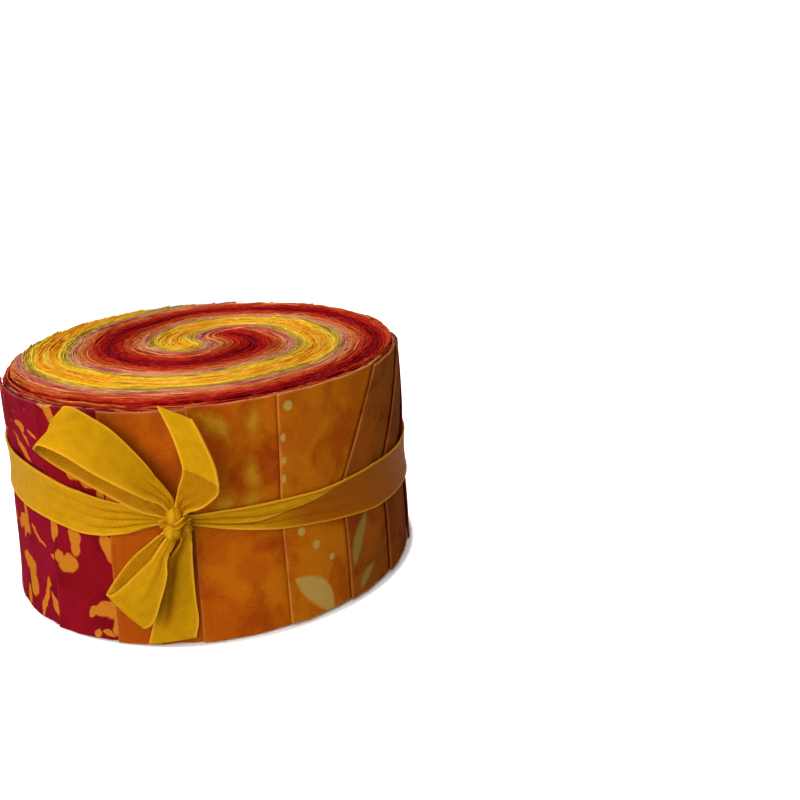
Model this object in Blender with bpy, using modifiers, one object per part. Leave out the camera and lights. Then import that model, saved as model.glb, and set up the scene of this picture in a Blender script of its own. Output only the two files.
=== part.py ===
"""A roll of cotton quilting strips, wound from the middle and tied round with a ribbon in a bow.

Every strip is cut 63.5 mm wide and stands on edge, so that width is the roll's height.
The strips lie in one stack, the stack is doubled, and it is wound up from its middle: seen from
above two arms of layers turn round each other, and the strips' folded ends overlap like shingles
down the outside. The ribbon goes round the middle once and is tied in front.

Units are metres. The origin is the middle of the flat base, +Z is up and the bow faces -Y.
An angle round the roll is counted in degrees from the front, towards +X.
"""
import math
from collections import namedtuple

import bmesh
import bpy
import numpy as np

MM = 0.001
BAND_GAP = 0.5 * MM

# The wound roll
STRIP_WIDTH = 63.5 * MM
BASE_RADIUS = 57.0 * MM
RIM_RADIUS = 55.9 * MM
FOLD_PROUD = 0.8 * MM
FOLD_STEP_DEG = 0.4
LAYER_TOP = STRIP_WIDTH - 0.2 * MM
WAIST_DEPTH = 0.9 * MM
WAIST_SPREAD = 8.0 * MM
LEFT_FLAT = 2.0 * MM
LEFT_BULGE = 0.4 * MM
LEFT_ANGLE = -90.0
LEFT_SPREAD_DEG = 30.0
FOOT_FLARE = 1.7 * MM
FLARE_ANGLE = -46.0
FLARE_SPREAD_DEG = 32.0
FLARE_HEIGHT = 10.0 * MM
FOOT_INSET = 1.6 * MM
COLUMN_PITCH_DEG = 7.5
LEAN_POWER = 1.2
WALL_ROWS = (0.0, 0.12, 0.28, 0.42, 0.5, 0.58, 0.68, 0.8, 0.92, 1.0)

# A folded strip end: its left fold at the base, how far that fold leans right at the rim and from
# what height in mm, how far its top lies under the rim and its foot over the table, in mm
Pleat = namedtuple("Pleat", "edge lean lean_from drop lift")
PLEATS = (
    Pleat(-68.0, -2.0, 20.0, 1.7, 0.6),
    Pleat(-38.5, 0.5, 0.0, 1.3, 0.5),
    Pleat(-19.3, 1.8, 0.0, 1.5, 0.4),
    Pleat(2.7, 1.7, 0.0, 0.7, 0.5),
    Pleat(25.3, 1.5, 25.0, 0.5, 0.9),
    Pleat(44.4, 17.0, 34.0, 0.9, 1.0),
    Pleat(62.8, 21.0, 33.0, 1.6, 1.2),
    Pleat(84.0, 12.0, 30.0, 2.3, 0.9),
    Pleat(106.5, 4.0, 25.0, 2.2, 0.7),
    Pleat(129.5, -1.5, 0.0, 2.0, 0.9),
    Pleat(152.0, 1.0, 0.0, 2.4, 0.5),
    Pleat(175.0, 2.0, 10.0, 2.1, 0.8),
    Pleat(198.0, -1.0, 0.0, 2.5, 0.6),
    Pleat(221.0, 1.5, 15.0, 2.1, 1.0),
    Pleat(245.0, 2.5, 20.0, 2.6, 0.7),
    Pleat(268.0, 0.5, 0.0, 2.9, 0.5),
)

# The rim, inwards from the top of the folded ends: an open slit, then the wound layers' edges
EDGE_THICKNESS = 1.1 * MM
SLIT_INSET = 1.5 * MM
SLIT_DEPTH = 1.0 * MM
LAYERS_INSET = 2.2 * MM
LAYERS_RADIUS = 50.0 * MM

# The two arms of the winding: stack thickness, centre and the line through both cores
STACK = 17.5 * MM
SPIRAL_X = 1.0 * MM
SPIRAL_Y = 2.7 * MM
SPIRAL_AXIS_DEG = 45.0
GROOVE_REACH = 48.0 * MM
GROOVE_DEPTH = 1.2 * MM
GROOVE_STEP = 4.0 * MM
ARM_GROOVE_WIDTH = 0.8 * MM
LAYER_GROOVE_WIDTH = 0.5 * MM
LAYER_GROOVES = (("groove_middle", 0.0), ("groove_outer_quarter", 0.25), ("groove_inner_quarter", -0.25))

# The ribbon
RIBBON_WIDTH = 12.7 * MM
RIBBON_THICK = 1.0 * MM
BAND_HEIGHT = 34.4 * MM
BAND_SLOPE = -0.095
BAND_SAG = 1.6 * MM
BAND_SAG_ANGLE = -23.0
BAND_SAG_SPREAD_DEG = 14.0
GATHER_THICK = 0.7 * MM
GATHER_WIDTH = 2.6 * MM
GATHER_FROM_DEG = 46.0
GATHER_POWER = 0.8
GATHER_SECTIONS = 13
PLAIN_SECTIONS = 40
BAND_FOLDS = ((0.0, 0.0), (0.22, 1.0), (0.45, 0.1), (0.72, 0.9), (1.0, 0.0))
RIBBON_CROWN = 0.4 * MM
RIBBON_STEPS = 4

# One lobe of the knot: middle and half sizes, in mm
Lobe = namedtuple("Lobe", "x y z half_x half_y half_z")
KNOT_UPPER_TURN = Lobe(0.2, -61.4, 38.4, 2.4, 2.5, 2.6)
KNOT_LOWER_TURN = Lobe(-0.5, -61.5, 34.0, 2.7, 2.6, 3.0)
KNOT_SEGMENTS = 16
KNOT_RINGS = 10

# The two edges of a ribbon at one place along it, in mm: ax ay az on one side, bx by bz on the other
Row = namedtuple("Row", "ax ay az bx by bz")
UPPER_LOOP = (
    Row(-0.4, -61.3, 42.4, -2.7, -63.6, 41.8),
    Row(-3.2, -60.9, 47.0, -6.0, -65.0, 44.0),
    Row(-6.5, -60.1, 51.7, -9.6, -66.2, 46.8),
    Row(-12.3, -59.6, 58.8, -16.5, -66.3, 51.5),
    Row(-17.0, -59.8, 62.9, -22.5, -65.2, 55.6),
    Row(-20.2, -60.4, 65.5, -28.0, -62.7, 57.4),
    Row(-22.2, -60.2, 65.7, -30.0, -61.6, 56.7),
    Row(-23.2, -59.2, 64.3, -30.5, -60.5, 55.6),
    Row(-22.2, -58.3, 63.4, -29.6, -59.0, 53.4),
    Row(-17.2, -57.7, 60.2, -26.2, -58.4, 50.0),
    Row(-11.5, -57.9, 54.6, -19.0, -58.9, 44.9),
    Row(-7.4, -58.8, 49.2, -13.9, -59.7, 41.7),
    Row(-5.0, -59.9, 44.4, -8.3, -60.2, 38.4),
    Row(-2.7, -60.4, 40.2, -3.3, -60.4, 36.7),
)
LOWER_LOOP = (
    Row(-3.4, -62.0, 31.2, -0.9, -62.0, 30.5),
    Row(-6.2, -62.6, 27.5, -2.7, -63.2, 27.2),
    Row(-9.8, -62.8, 24.3, -3.2, -63.7, 22.6),
    Row(-13.6, -62.8, 20.8, -5.2, -63.6, 16.8),
    Row(-16.8, -62.5, 18.3, -8.6, -63.0, 10.6),
    Row(-18.6, -61.6, 17.8, -10.9, -62.0, 8.3),
    Row(-17.6, -60.6, 19.6, -9.8, -60.9, 10.6),
    Row(-15.0, -60.4, 23.0, -7.6, -60.6, 15.4),
    Row(-11.6, -60.3, 26.8, -5.8, -60.5, 21.0),
    Row(-8.2, -60.4, 29.6, -4.4, -60.5, 26.2),
    Row(-3.9, -60.6, 32.8, -2.6, -60.6, 30.0),
)
UPPER_TAIL = (
    Row(0.9, -62.0, 42.3, 3.6, -62.0, 38.7),
    Row(2.0, -62.9, 45.7, 7.3, -63.8, 40.4),
    Row(3.3, -63.9, 49.0, 11.3, -66.1, 44.2),
    Row(3.7, -64.5, 50.9, 12.0, -67.1, 47.0),
    Row(3.1, -63.8, 53.9, 11.3, -66.6, 52.4),
    Row(1.5, -62.2, 58.7, 8.6, -65.0, 59.2),
    Row(-1.3, -60.3, 64.8, 6.9, -63.4, 62.2),
)
LOWER_TAIL = (
    Row(0.5, -60.5, 30.9, 2.9, -60.5, 32.5),
    Row(-1.0, -59.9, 28.2, 2.8, -59.9, 28.8),
    Row(-3.4, -59.1, 25.0, 2.4, -59.2, 24.8),
    Row(-5.5, -58.6, 19.5, 2.1, -58.7, 18.8),
    Row(-7.4, -58.1, 13.5, 1.9, -58.2, 12.8),
    Row(-9.3, -57.8, 7.4, 1.9, -58.0, 7.0),
    Row(-11.3, -57.7, 1.0, 0.8, -58.1, 2.4),
)

# Seen colours, as red, green and blue from 0 to 1
BATIK_ORANGE = (0.50, 0.13, 0.012)
RIBBON_GOLD = (0.68, 0.38, 0.008)
SHARP_FOLD_DEG = 40.0
COTTON_ROUGHNESS = 0.85
RIBBON_ROUGHNESS = 0.45


def clear_scene():
    """Remove whatever the opened scene holds."""
    for item in list(bpy.data.objects):
        bpy.data.objects.remove(item, do_unlink=True)


def new_collection(name):
    """Make a collection under the scene."""
    collection = bpy.data.collections.new(name)
    bpy.context.scene.collection.children.link(collection)
    return collection


def new_material(name, colour, roughness):
    """Make a cloth material of one colour."""
    material = bpy.data.materials.new(name)
    material.use_nodes = True
    shader = material.node_tree.nodes["Principled BSDF"]
    shader.inputs["Base Color"].default_value = (*colour, 1.0)
    shader.inputs["Roughness"].default_value = roughness
    shader.inputs["Metallic"].default_value = 0.0
    return material


def mesh_object(name, points, faces, collection, material=None):
    """Put points and faces into a new object, shaded smooth but for its sharp folds."""
    mesh = bpy.data.meshes.new(name)
    mesh.from_pydata([tuple(point) for point in points], [], faces)
    mesh.update()
    mesh.shade_smooth()
    mesh.set_sharp_from_angle(angle=math.radians(SHARP_FOLD_DEG))
    if material:
        mesh.materials.append(material)
    result = bpy.data.objects.new(name, mesh)
    collection.objects.link(result)
    return result


def round_the_roll(angle, radius, height):
    """The point at an angle from the front, in degrees, a radius and a height."""
    turn = math.radians(angle)
    return (radius * math.sin(turn), -radius * math.cos(turn), height)


def off_angle(angle, middle):
    """How far an angle lies from a middle one, from -180 to 180 degrees."""
    return (angle - middle + 180.0) % 360.0 - 180.0


def band_middle(angle):
    """Height of the ribbon's middle line: it slopes down towards +X and sags left of the knot."""
    slope = BAND_SLOPE * BASE_RADIUS * math.sin(math.radians(angle))
    sag = BAND_SAG * math.exp(-(off_angle(angle, BAND_SAG_ANGLE) / BAND_SAG_SPREAD_DEG) ** 2)
    return BAND_HEIGHT + slope - sag


def wall_radius(angle, height):
    """Radius of the wound layers: a cone, drawn in by the ribbon, leaning and flared at the left."""
    rise = height / STRIP_WIDTH
    radius = BASE_RADIUS + (RIM_RADIUS - BASE_RADIUS) * rise
    waist = WAIST_DEPTH * math.exp(-((height - band_middle(angle)) / WAIST_SPREAD) ** 2)
    left = math.exp(-(off_angle(angle, LEFT_ANGLE) / LEFT_SPREAD_DEG) ** 2)
    lean = LEFT_BULGE - (LEFT_BULGE + LEFT_FLAT) * rise
    flare = FOOT_FLARE * math.exp(-(off_angle(angle, FLARE_ANGLE) / FLARE_SPREAD_DEG) ** 2)
    return radius - waist + left * lean + flare * math.exp(-height / FLARE_HEIGHT)


def fold_angle(pleat, height):
    """Angle of a strip end's left fold at a height."""
    start = pleat.lean_from * MM
    lean = max(0.0, (height - start) / (STRIP_WIDTH - start)) ** LEAN_POWER
    return pleat.edge + pleat.lean * lean


def pleat_columns():
    """List the wall's columns: strip end, the next one, the share of its width and how proud it is."""
    columns = []
    following = PLEATS[1:] + (PLEATS[0]._replace(edge=PLEATS[0].edge + 360.0),)
    for pleat, after in zip(PLEATS, following):
        strips = max(3, round((after.edge - pleat.edge) / COLUMN_PITCH_DEG))
        for step in range(strips + 1):
            share = step / strips
            columns.append((pleat, after, share, FOLD_PROUD * (1.0 - share)))
    return columns


def column_point(column, height, inset):
    """A point of a wall column at a height, moved inwards by the inset."""
    pleat, after, share, proud = column
    left = fold_angle(pleat, height)
    right = fold_angle(after, height) - FOLD_STEP_DEG
    angle = left + (right - left) * share
    return round_the_roll(angle, wall_radius(angle, height) + proud - inset, height)


def build_roll(collection, cutters, material):
    """The wound strips as one solid: pleated wall, rim slit, layered top and flat base."""
    columns = pleat_columns()
    rings = [[(x, y, 0.0) for x, y, _ in (column_point(c, 0.0, FOOT_INSET) for c in columns)]]
    for share in WALL_ROWS:
        ring = []
        for column in columns:
            foot = column[0].lift * MM
            top = STRIP_WIDTH - column[0].drop * MM
            ring.append(column_point(column, foot + (top - foot) * share, 0.0))
        rings.append(ring)
    edge = [STRIP_WIDTH - column[0].drop * MM for column in columns]
    rings.append([column_point(c, z, EDGE_THICKNESS) for c, z in zip(columns, edge)])
    rings.append([column_point(c, z - SLIT_DEPTH, SLIT_INSET) for c, z in zip(columns, edge)])
    rings.append([column_point(c, LAYER_TOP, LAYERS_INSET) for c in columns])
    inner = []
    for x, y, _ in rings[-1]:
        shrink = LAYERS_RADIUS / math.hypot(x, y)
        inner.append((x * shrink, y * shrink, LAYER_TOP))
    rings.append(inner)

    count = len(columns)
    points = [point for ring in rings for point in ring]
    faces = [tuple(reversed(range(count)))]
    for row in range(len(rings) - 1):
        for step in range(count):
            after = (step + 1) % count
            low, high = row * count, (row + 1) * count
            faces.append((low + step, low + after, high + after, high + step))
    faces.append(tuple(range(len(points) - count, len(points))))
    roll = mesh_object("strip_roll", points, faces, collection, material)
    for name, path, width in groove_paths():
        cutter = groove_cutter(name, path, width, cutters)
        cut = roll.modifiers.new(name, "BOOLEAN")
        cut.operation = "DIFFERENCE"
        cut.solver = "EXACT"
        cut.object = cutter
    return roll


def half_turn(radius, upper):
    """Points of one half turn of an arm, clockwise, on the cores' own axes."""
    centre = STACK / 2 if upper else -STACK / 2
    steps = max(8, round(math.pi * radius / GROOVE_STEP))
    start = math.pi if upper else 0.0
    turns = start - np.linspace(0.0, math.pi, steps + 1)
    return np.column_stack([centre + radius * np.cos(turns), radius * np.sin(turns)])


def arm_path(first_radius, upper):
    """A line between layers, from its core outwards until it nears the rim."""
    pieces = []
    radius = first_radius
    while radius < GROOVE_REACH + STACK:
        pieces.append(half_turn(radius, upper))
        radius += STACK
        upper = not upper
    path = np.vstack([pieces[0]] + [piece[1:] for piece in pieces[1:]])
    turn = math.radians(SPIRAL_AXIS_DEG)
    to_part = np.array([[math.cos(turn), math.sin(turn)], [-math.sin(turn), math.cos(turn)]])
    path = path @ to_part + np.array([SPIRAL_X, SPIRAL_Y])
    outside = np.nonzero(np.hypot(path[:, 0], path[:, 1]) > GROOVE_REACH)[0]
    return path[: outside[0]] if len(outside) else path


def layer_path(share):
    """A line along one layer right through the roll, at a share of the stack off its middle."""
    inwards = arm_path(STACK * (0.5 + share), False)[::-1]
    outwards = arm_path(STACK * (0.5 - share), True)
    return np.vstack([inwards, outwards[1:]])


def groove_paths():
    """Name, path and width of the grooves: where each arm meets itself, and between its layers."""
    paths = [
        ("groove_first_arm", arm_path(STACK, True), ARM_GROOVE_WIDTH),
        ("groove_second_arm", arm_path(STACK, False), ARM_GROOVE_WIDTH),
    ]
    for name, share in LAYER_GROOVES:
        paths.append((name, layer_path(share), LAYER_GROOVE_WIDTH))
    return paths


def groove_cutter(name, path, width, collection):
    """A thin upright wall along the path, as deep below the top as it stands above it."""
    along = np.gradient(path, axis=0)
    along /= np.linalg.norm(along, axis=1)[:, None]
    aside = np.column_stack([-along[:, 1], along[:, 0]]) * width / 2
    level = np.full(len(path), LAYER_TOP)
    left = np.column_stack([path + aside, level])
    right = np.column_stack([path - aside, level])
    points = np.vstack([left, right])
    count = len(path)
    faces = [(step, count + step, count + step + 1, step + 1) for step in range(count - 1)]
    cutter = mesh_object(name, points, faces, collection)
    wall = cutter.modifiers.new("depth", "SOLIDIFY")
    wall.thickness = 2 * GROOVE_DEPTH
    wall.offset = 0.0
    cutter.hide_render = True
    cutter.display_type = "WIRE"
    return cutter


def build_band(collection, material):
    """The ribbon once round the roll, gathered into lengthwise folds where it reaches the knot."""
    fine = np.linspace(0.0, GATHER_FROM_DEG, GATHER_SECTIONS)
    coarse = np.linspace(GATHER_FROM_DEG, 360.0 - GATHER_FROM_DEG, PLAIN_SECTIONS)[1:-1]
    angles = np.concatenate([fine, coarse, 360.0 - fine[:0:-1]])
    sections = []
    for angle in angles:
        from_knot = min(angle, 360.0 - angle) / GATHER_FROM_DEG
        spread = min(1.0, from_knot) ** GATHER_POWER
        height = GATHER_WIDTH + (RIBBON_WIDTH - GATHER_WIDTH) * spread
        gather = GATHER_THICK * (1.0 - spread)
        middle = band_middle(angle)
        section = []
        for share in (1.0, 0.5, 0.0):
            level = middle + (share - 0.5) * height
            inner = wall_radius(angle, level) + FOLD_PROUD + BAND_GAP
            section.append(round_the_roll(angle, inner, level))
        for share, fold in BAND_FOLDS:
            level = middle + (share - 0.5) * height
            outer = wall_radius(angle, level) + FOLD_PROUD + BAND_GAP + RIBBON_THICK + gather * fold
            section.append(round_the_roll(angle, outer, level))
        sections.append(section)
    count = len(sections[0])
    points = [point for section in sections for point in section]
    faces = []
    for step in range(len(sections)):
        here, after = step * count, ((step + 1) % len(sections)) * count
        for corner in range(count):
            side = (corner + 1) % count
            faces.append((here + corner, after + corner, after + side, here + side))
    return mesh_object("ribbon_band", points, faces, collection, material)


def knot_turn(name, lobe, collection, material=None):
    """One tight turn of the knot, a rounded lump."""
    shape = bmesh.new()
    bmesh.ops.create_uvsphere(shape, u_segments=KNOT_SEGMENTS, v_segments=KNOT_RINGS, radius=MM)
    bmesh.ops.scale(shape, verts=shape.verts, vec=(lobe.half_x, lobe.half_y, lobe.half_z))
    bmesh.ops.translate(shape, verts=shape.verts, vec=(lobe.x * MM, lobe.y * MM, lobe.z * MM))
    mesh = bpy.data.meshes.new(name)
    shape.to_mesh(mesh)
    shape.free()
    mesh.shade_smooth()
    if material:
        mesh.materials.append(material)
    turn = bpy.data.objects.new(name, mesh)
    collection.objects.link(turn)
    return turn


def build_knot(collection, cutters, material):
    """The knot: two tight turns of ribbon, one above the other, united into one lump."""
    knot = knot_turn("bow_knot", KNOT_UPPER_TURN, collection, material)
    lower = knot_turn("knot_lower_turn", KNOT_LOWER_TURN, cutters)
    lower.hide_render = True
    lower.display_type = "WIRE"
    join = knot.modifiers.new("lower_turn", "BOOLEAN")
    join.operation = "UNION"
    join.solver = "EXACT"
    join.object = lower
    return knot


def smooth_line(points, steps):
    """A Catmull-Rom curve through the points, with some steps in each span."""
    ends = np.vstack([2 * points[0] - points[1], points, 2 * points[-1] - points[-2]])
    pieces = []
    for span in range(len(points) - 1):
        before, first, second, after = ends[span:span + 4]
        share = np.linspace(0.0, 1.0, steps + 1)[:, None]
        curve = 2 * first + (second - before) * share
        curve = curve + (2 * before - 5 * first + 4 * second - after) * share ** 2
        curve = curve + (3 * first - before - 3 * second + after) * share ** 3
        pieces.append(curve[:-1] / 2)
    pieces.append(points[-1:])
    return np.vstack(pieces)


def build_ribbon_piece(name, rows, collection, material):
    """A loop or tail of ribbon through its rows of edge points, a little crowned across."""
    table = np.array(rows) * MM
    first_edge = smooth_line(table[:, :3], RIBBON_STEPS)
    second_edge = smooth_line(table[:, 3:], RIBBON_STEPS)
    across = second_edge - first_edge
    along = np.gradient((first_edge + second_edge) / 2, axis=0)
    normal = np.cross(along, across)
    normal /= np.linalg.norm(normal, axis=1)[:, None]
    width = np.linalg.norm(across, axis=1)[:, None] / RIBBON_WIDTH
    middle = (first_edge + second_edge) / 2 + normal * RIBBON_CROWN * width
    points = np.stack([first_edge, middle, second_edge], axis=1).reshape(-1, 3)
    faces = []
    for step in range(len(first_edge) - 1):
        for side in range(2):
            corner = step * 3 + side
            faces.append((corner, corner + 1, corner + 4, corner + 3))
    piece = mesh_object(name, points, faces, collection, material)
    sheet = piece.modifiers.new("ribbon_thickness", "SOLIDIFY")
    sheet.thickness = RIBBON_THICK
    sheet.offset = 0.0
    sheet.use_even_offset = True
    return piece


def build():
    """Make every piece of the tied roll."""
    clear_scene()
    parts = new_collection("fabric_strip_roll")
    cutters = new_collection("cutters")
    cotton = new_material("batik_cotton", BATIK_ORANGE, COTTON_ROUGHNESS)
    build_roll(parts, cutters, cotton)
    build_band(parts, new_material("band_ribbon", RIBBON_GOLD, RIBBON_ROUGHNESS))
    build_knot(parts, cutters, new_material("knot_ribbon", RIBBON_GOLD, RIBBON_ROUGHNESS))
    for name, rows in (
        ("bow_loop_upper", UPPER_LOOP),
        ("bow_loop_lower", LOWER_LOOP),
        ("ribbon_tail_upper", UPPER_TAIL),
        ("ribbon_tail_lower", LOWER_TAIL),
    ):
        build_ribbon_piece(name, rows, parts, new_material(name + "_ribbon", RIBBON_GOLD, RIBBON_ROUGHNESS))


build()
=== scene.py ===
"""The looks of a roll of cotton quilting strips, tied round with a ribbon in a bow.

The strips are hand-dyed batik cotton, cut 63.5 mm wide, folded in half and wound up from the
middle of their stack. From above their cut edges make a swirl with two arms, and down the outside
their folded ends overlap like shingles. A satin twill ribbon goes round once and is tied in front.

Lengths are metres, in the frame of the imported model: the origin is the middle of the flat base,
+Z is up and the bow faces -Y. An angle round the roll is in degrees from the front, towards +X.
"""

import logging
import math
from collections.abc import Callable
from dataclasses import dataclass, field
from enum import Enum
from functools import partial
from typing import NamedTuple

import bpy
import numpy as np
from mathutils import Matrix, Vector


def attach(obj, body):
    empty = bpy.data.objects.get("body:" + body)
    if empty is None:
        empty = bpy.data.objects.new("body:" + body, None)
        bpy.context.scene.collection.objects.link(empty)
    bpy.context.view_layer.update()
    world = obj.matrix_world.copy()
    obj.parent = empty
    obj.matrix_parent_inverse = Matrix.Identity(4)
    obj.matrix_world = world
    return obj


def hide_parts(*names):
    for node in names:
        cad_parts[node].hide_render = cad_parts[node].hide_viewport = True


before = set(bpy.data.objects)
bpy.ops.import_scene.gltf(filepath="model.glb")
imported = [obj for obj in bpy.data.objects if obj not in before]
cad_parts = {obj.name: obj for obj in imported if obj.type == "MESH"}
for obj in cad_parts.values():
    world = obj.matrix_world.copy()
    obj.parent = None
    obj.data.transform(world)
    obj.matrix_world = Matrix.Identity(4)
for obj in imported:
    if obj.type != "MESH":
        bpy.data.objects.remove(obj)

LOG = logging.getLogger("strip_roll")
MM = 0.001
COTTON_SLOT = "batik_cotton"
RIBBON_SLOT = "twill_ribbon"
UP = np.array([0.0, 0.0, 1.0])
# Keeps a division by a length away from nought
TINY = 1e-12

# Types that many signatures name: Values is a number or an array of them, and an AddNode adds
# a node to a material
Piece = bpy.types.Object
Material = bpy.types.Material
Array = np.ndarray
Values = float | Array
Generator = np.random.Generator
Socket = bpy.types.NodeSocket
AddNode = Callable[..., Socket]


# Colour and node helpers

# Settings that many nodes share
SMOOTH = {"interpolation_type": "SMOOTHSTEP"}
COLOURS = {"data_type": "RGBA"}
SEEDED = {"noise_dimensions": "4D"}
# The sockets of a colour mix: its share, its two colours and its result
SHARE, FIRST, SECOND, MIXED = 0, 6, 7, 2
# Over the distance between two threads, this gives the scale of a wave texture
WAVE = 0.314
WHITE = (1.0, 1.0, 1.0, 1.0)


def linear(colour: str) -> tuple[float, float, float, float]:
    """Turn an sRGB hex colour into linear red, green, blue and alpha.

    Args:
        colour: Six hex digits after a hash sign.

    Returns:
        The four linear values that Blender's sockets take.
    """
    parts = np.array([int(colour[at:at + 2], 16) for at in (1, 3, 5)]) / 255.0
    straight = np.where(parts <= 0.04045, parts / 12.92, ((parts + 0.055) / 1.055) ** 2.4)
    return (*(float(part) for part in straight), 1.0)


def plug(node: bpy.types.Node, links: dict) -> None:
    """Give a node's inputs their values, or link them to the sockets that are given instead.

    Args:
        node: The node.
        links: Each input's name or number, with the socket or the value that it takes.
    """
    for name, value in links.items():
        if isinstance(value, Socket):
            node.id_data.links.new(value, node.inputs[name])
        else:
            node.inputs[name].default_value = value


def add_node(tree: bpy.types.NodeTree, kind: str, links: dict, out: int | str = 0,
             **settings: object) -> Socket:
    """Add one node to a material, with its settings and links.

    Args:
        tree: The material's node tree.
        kind: Blender's type name of the node, after its first word, ShaderNode.
        links: Each input's name or number, with the socket or the value that it takes.
        out: The name or number of the output that is wanted.
        settings: The node's own properties.

    Returns:
        The wanted output.
    """
    node = tree.nodes.new("ShaderNode" + kind)
    for name, value in settings.items():
        setattr(node, name, value)
    plug(node, links)
    return node.outputs[out]


def new_material(name: str) -> tuple[Material, AddNode, bpy.types.Node]:
    """Make a material with its one shader.

    Args:
        name: What the material is.

    Returns:
        The material, the function that adds a node to it, and its Principled shader.
    """
    material = bpy.data.materials.new(name)
    material.use_nodes = True
    return material, partial(add_node, material.node_tree), material.node_tree.nodes["Principled BSDF"]


def put_in_scene(name: str, data: bpy.types.ID) -> Piece:
    """Make an object of a mesh, lamp or camera and put it in the scene.

    Args:
        name: The object's name.
        data: What it shows.

    Returns:
        The new object.
    """
    made = bpy.data.objects.new(name, data)
    bpy.context.scene.collection.objects.link(made)
    return made


# Surfaces of two parameters

# The shortest and longest wave of an uneven line, as shares of the usual one
WAVE_LENGTHS = (0.6, 1.7)


def wander(along: Array, length: float, draw: Generator, waves: int = 5) -> Array:
    """An uneven smooth line: a few sine waves of near lengths, added up, about -1 to 1.

    Args:
        along: Places along the line, in metres.
        length: The usual length of one wave, in metres.
        draw: The seeded source of the waves' lengths and starts.
        waves: How many waves are added.

    Returns:
        The line's height at each place.
    """
    lengths = length * draw.uniform(*WAVE_LENGTHS, waves)
    starts = draw.uniform(0.0, 2.0 * np.pi, waves)
    usual_size = 0.8 * waves ** 0.5 + 1.0
    return np.sin(2.0 * np.pi * along[..., None] / lengths + starts).sum(axis=-1) / usual_size


def ease(share: Values) -> Values:
    """Go smoothly from 0 to 1 as the share does: three times its square less twice its cube."""
    held = np.clip(share, 0.0, 1.0)
    return held * held * (3.0 - 2.0 * held)


def ramp(value: Values, start: float, end: float) -> Values:
    """Go straight from 0 to 1 while a value goes from a start to an end."""
    return np.clip((value - start) / (end - start), 0.0, 1.0)


def bell(away: Values, spread: float) -> Values:
    """A bell curve, 1 in its middle: e to the power of less the square of distance over spread."""
    return np.exp(-(away / spread) ** 2)


def pleats(share: Array, count: float, start: float = 0.0, fullness: float = 0.6) -> Array:
    """Round ridges with narrow valleys between, from 0 to 1: a power of a sine's size."""
    return np.abs(np.sin(np.pi * (count * share + start))) ** fullness


def unit(vectors: Array) -> Array:
    """Scale every vector to a length of one."""
    return vectors / np.maximum(np.linalg.norm(vectors, axis=-1, keepdims=True), TINY)


def run_length(points: Array) -> Array:
    """How far along a line each point lies: the steps up to it, added up."""
    return np.concatenate([[0.0], np.cumsum(np.linalg.norm(np.diff(points, axis=0), axis=1))])


def laid_flat(along: Array, across: Array) -> Array:
    """A sheet's UVs in millimetres: how far along its rows lie, and how far across its points do."""
    return np.stack([np.broadcast_to(along[:, None], across.shape), across], axis=2) / MM


def smooth_line(points: Array, steps: int) -> Array:
    """A Catmull-Rom curve through points, the cubic whose slope at each is half its neighbours' gap.

    Args:
        points: Rows of values, one row a point.
        steps: How many steps each span gets.

    Returns:
        The rows along the curve.
    """
    ends = np.vstack([2 * points[0] - points[1], points, 2 * points[-1] - points[-2]])
    before, first, second, after = ends[:-3], ends[1:-2], ends[2:-1], ends[3:]
    share = np.linspace(0.0, 1.0, steps + 1)[:-1, None, None]
    curve = 2 * first + (second - before) * share
    curve = curve + (2 * before - 5 * first + 4 * second - after) * share ** 2
    curve = curve + (3 * first - before - 3 * second + after) * share ** 3
    inner = (curve / 2).transpose(1, 0, 2).reshape(-1, points.shape[1])
    return np.vstack([inner, points[-1:]])


def grid_normals(grid: Array, closed: bool = False) -> Array:
    """Unit normals of a grid of points: the cross product of its two directions' slopes.

    Args:
        grid: Points in rows and columns, shaped (rows, columns, 3).
        closed: Whether the last row is followed by the first.

    Returns:
        One unit vector for each point.
    """
    rows = np.vstack([grid[-1:], grid, grid[:1]]) if closed else grid
    along = np.gradient(rows, axis=0)
    along = along[1:-1] if closed else along
    return unit(np.cross(along, np.gradient(grid, axis=1)))


def corners(table: Array) -> Array:
    """Take the four corners of every cell of a table, in turning order."""
    return np.stack([table[:-1, :-1], table[1:, :-1], table[1:, 1:], table[:-1, 1:]], axis=2)


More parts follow.
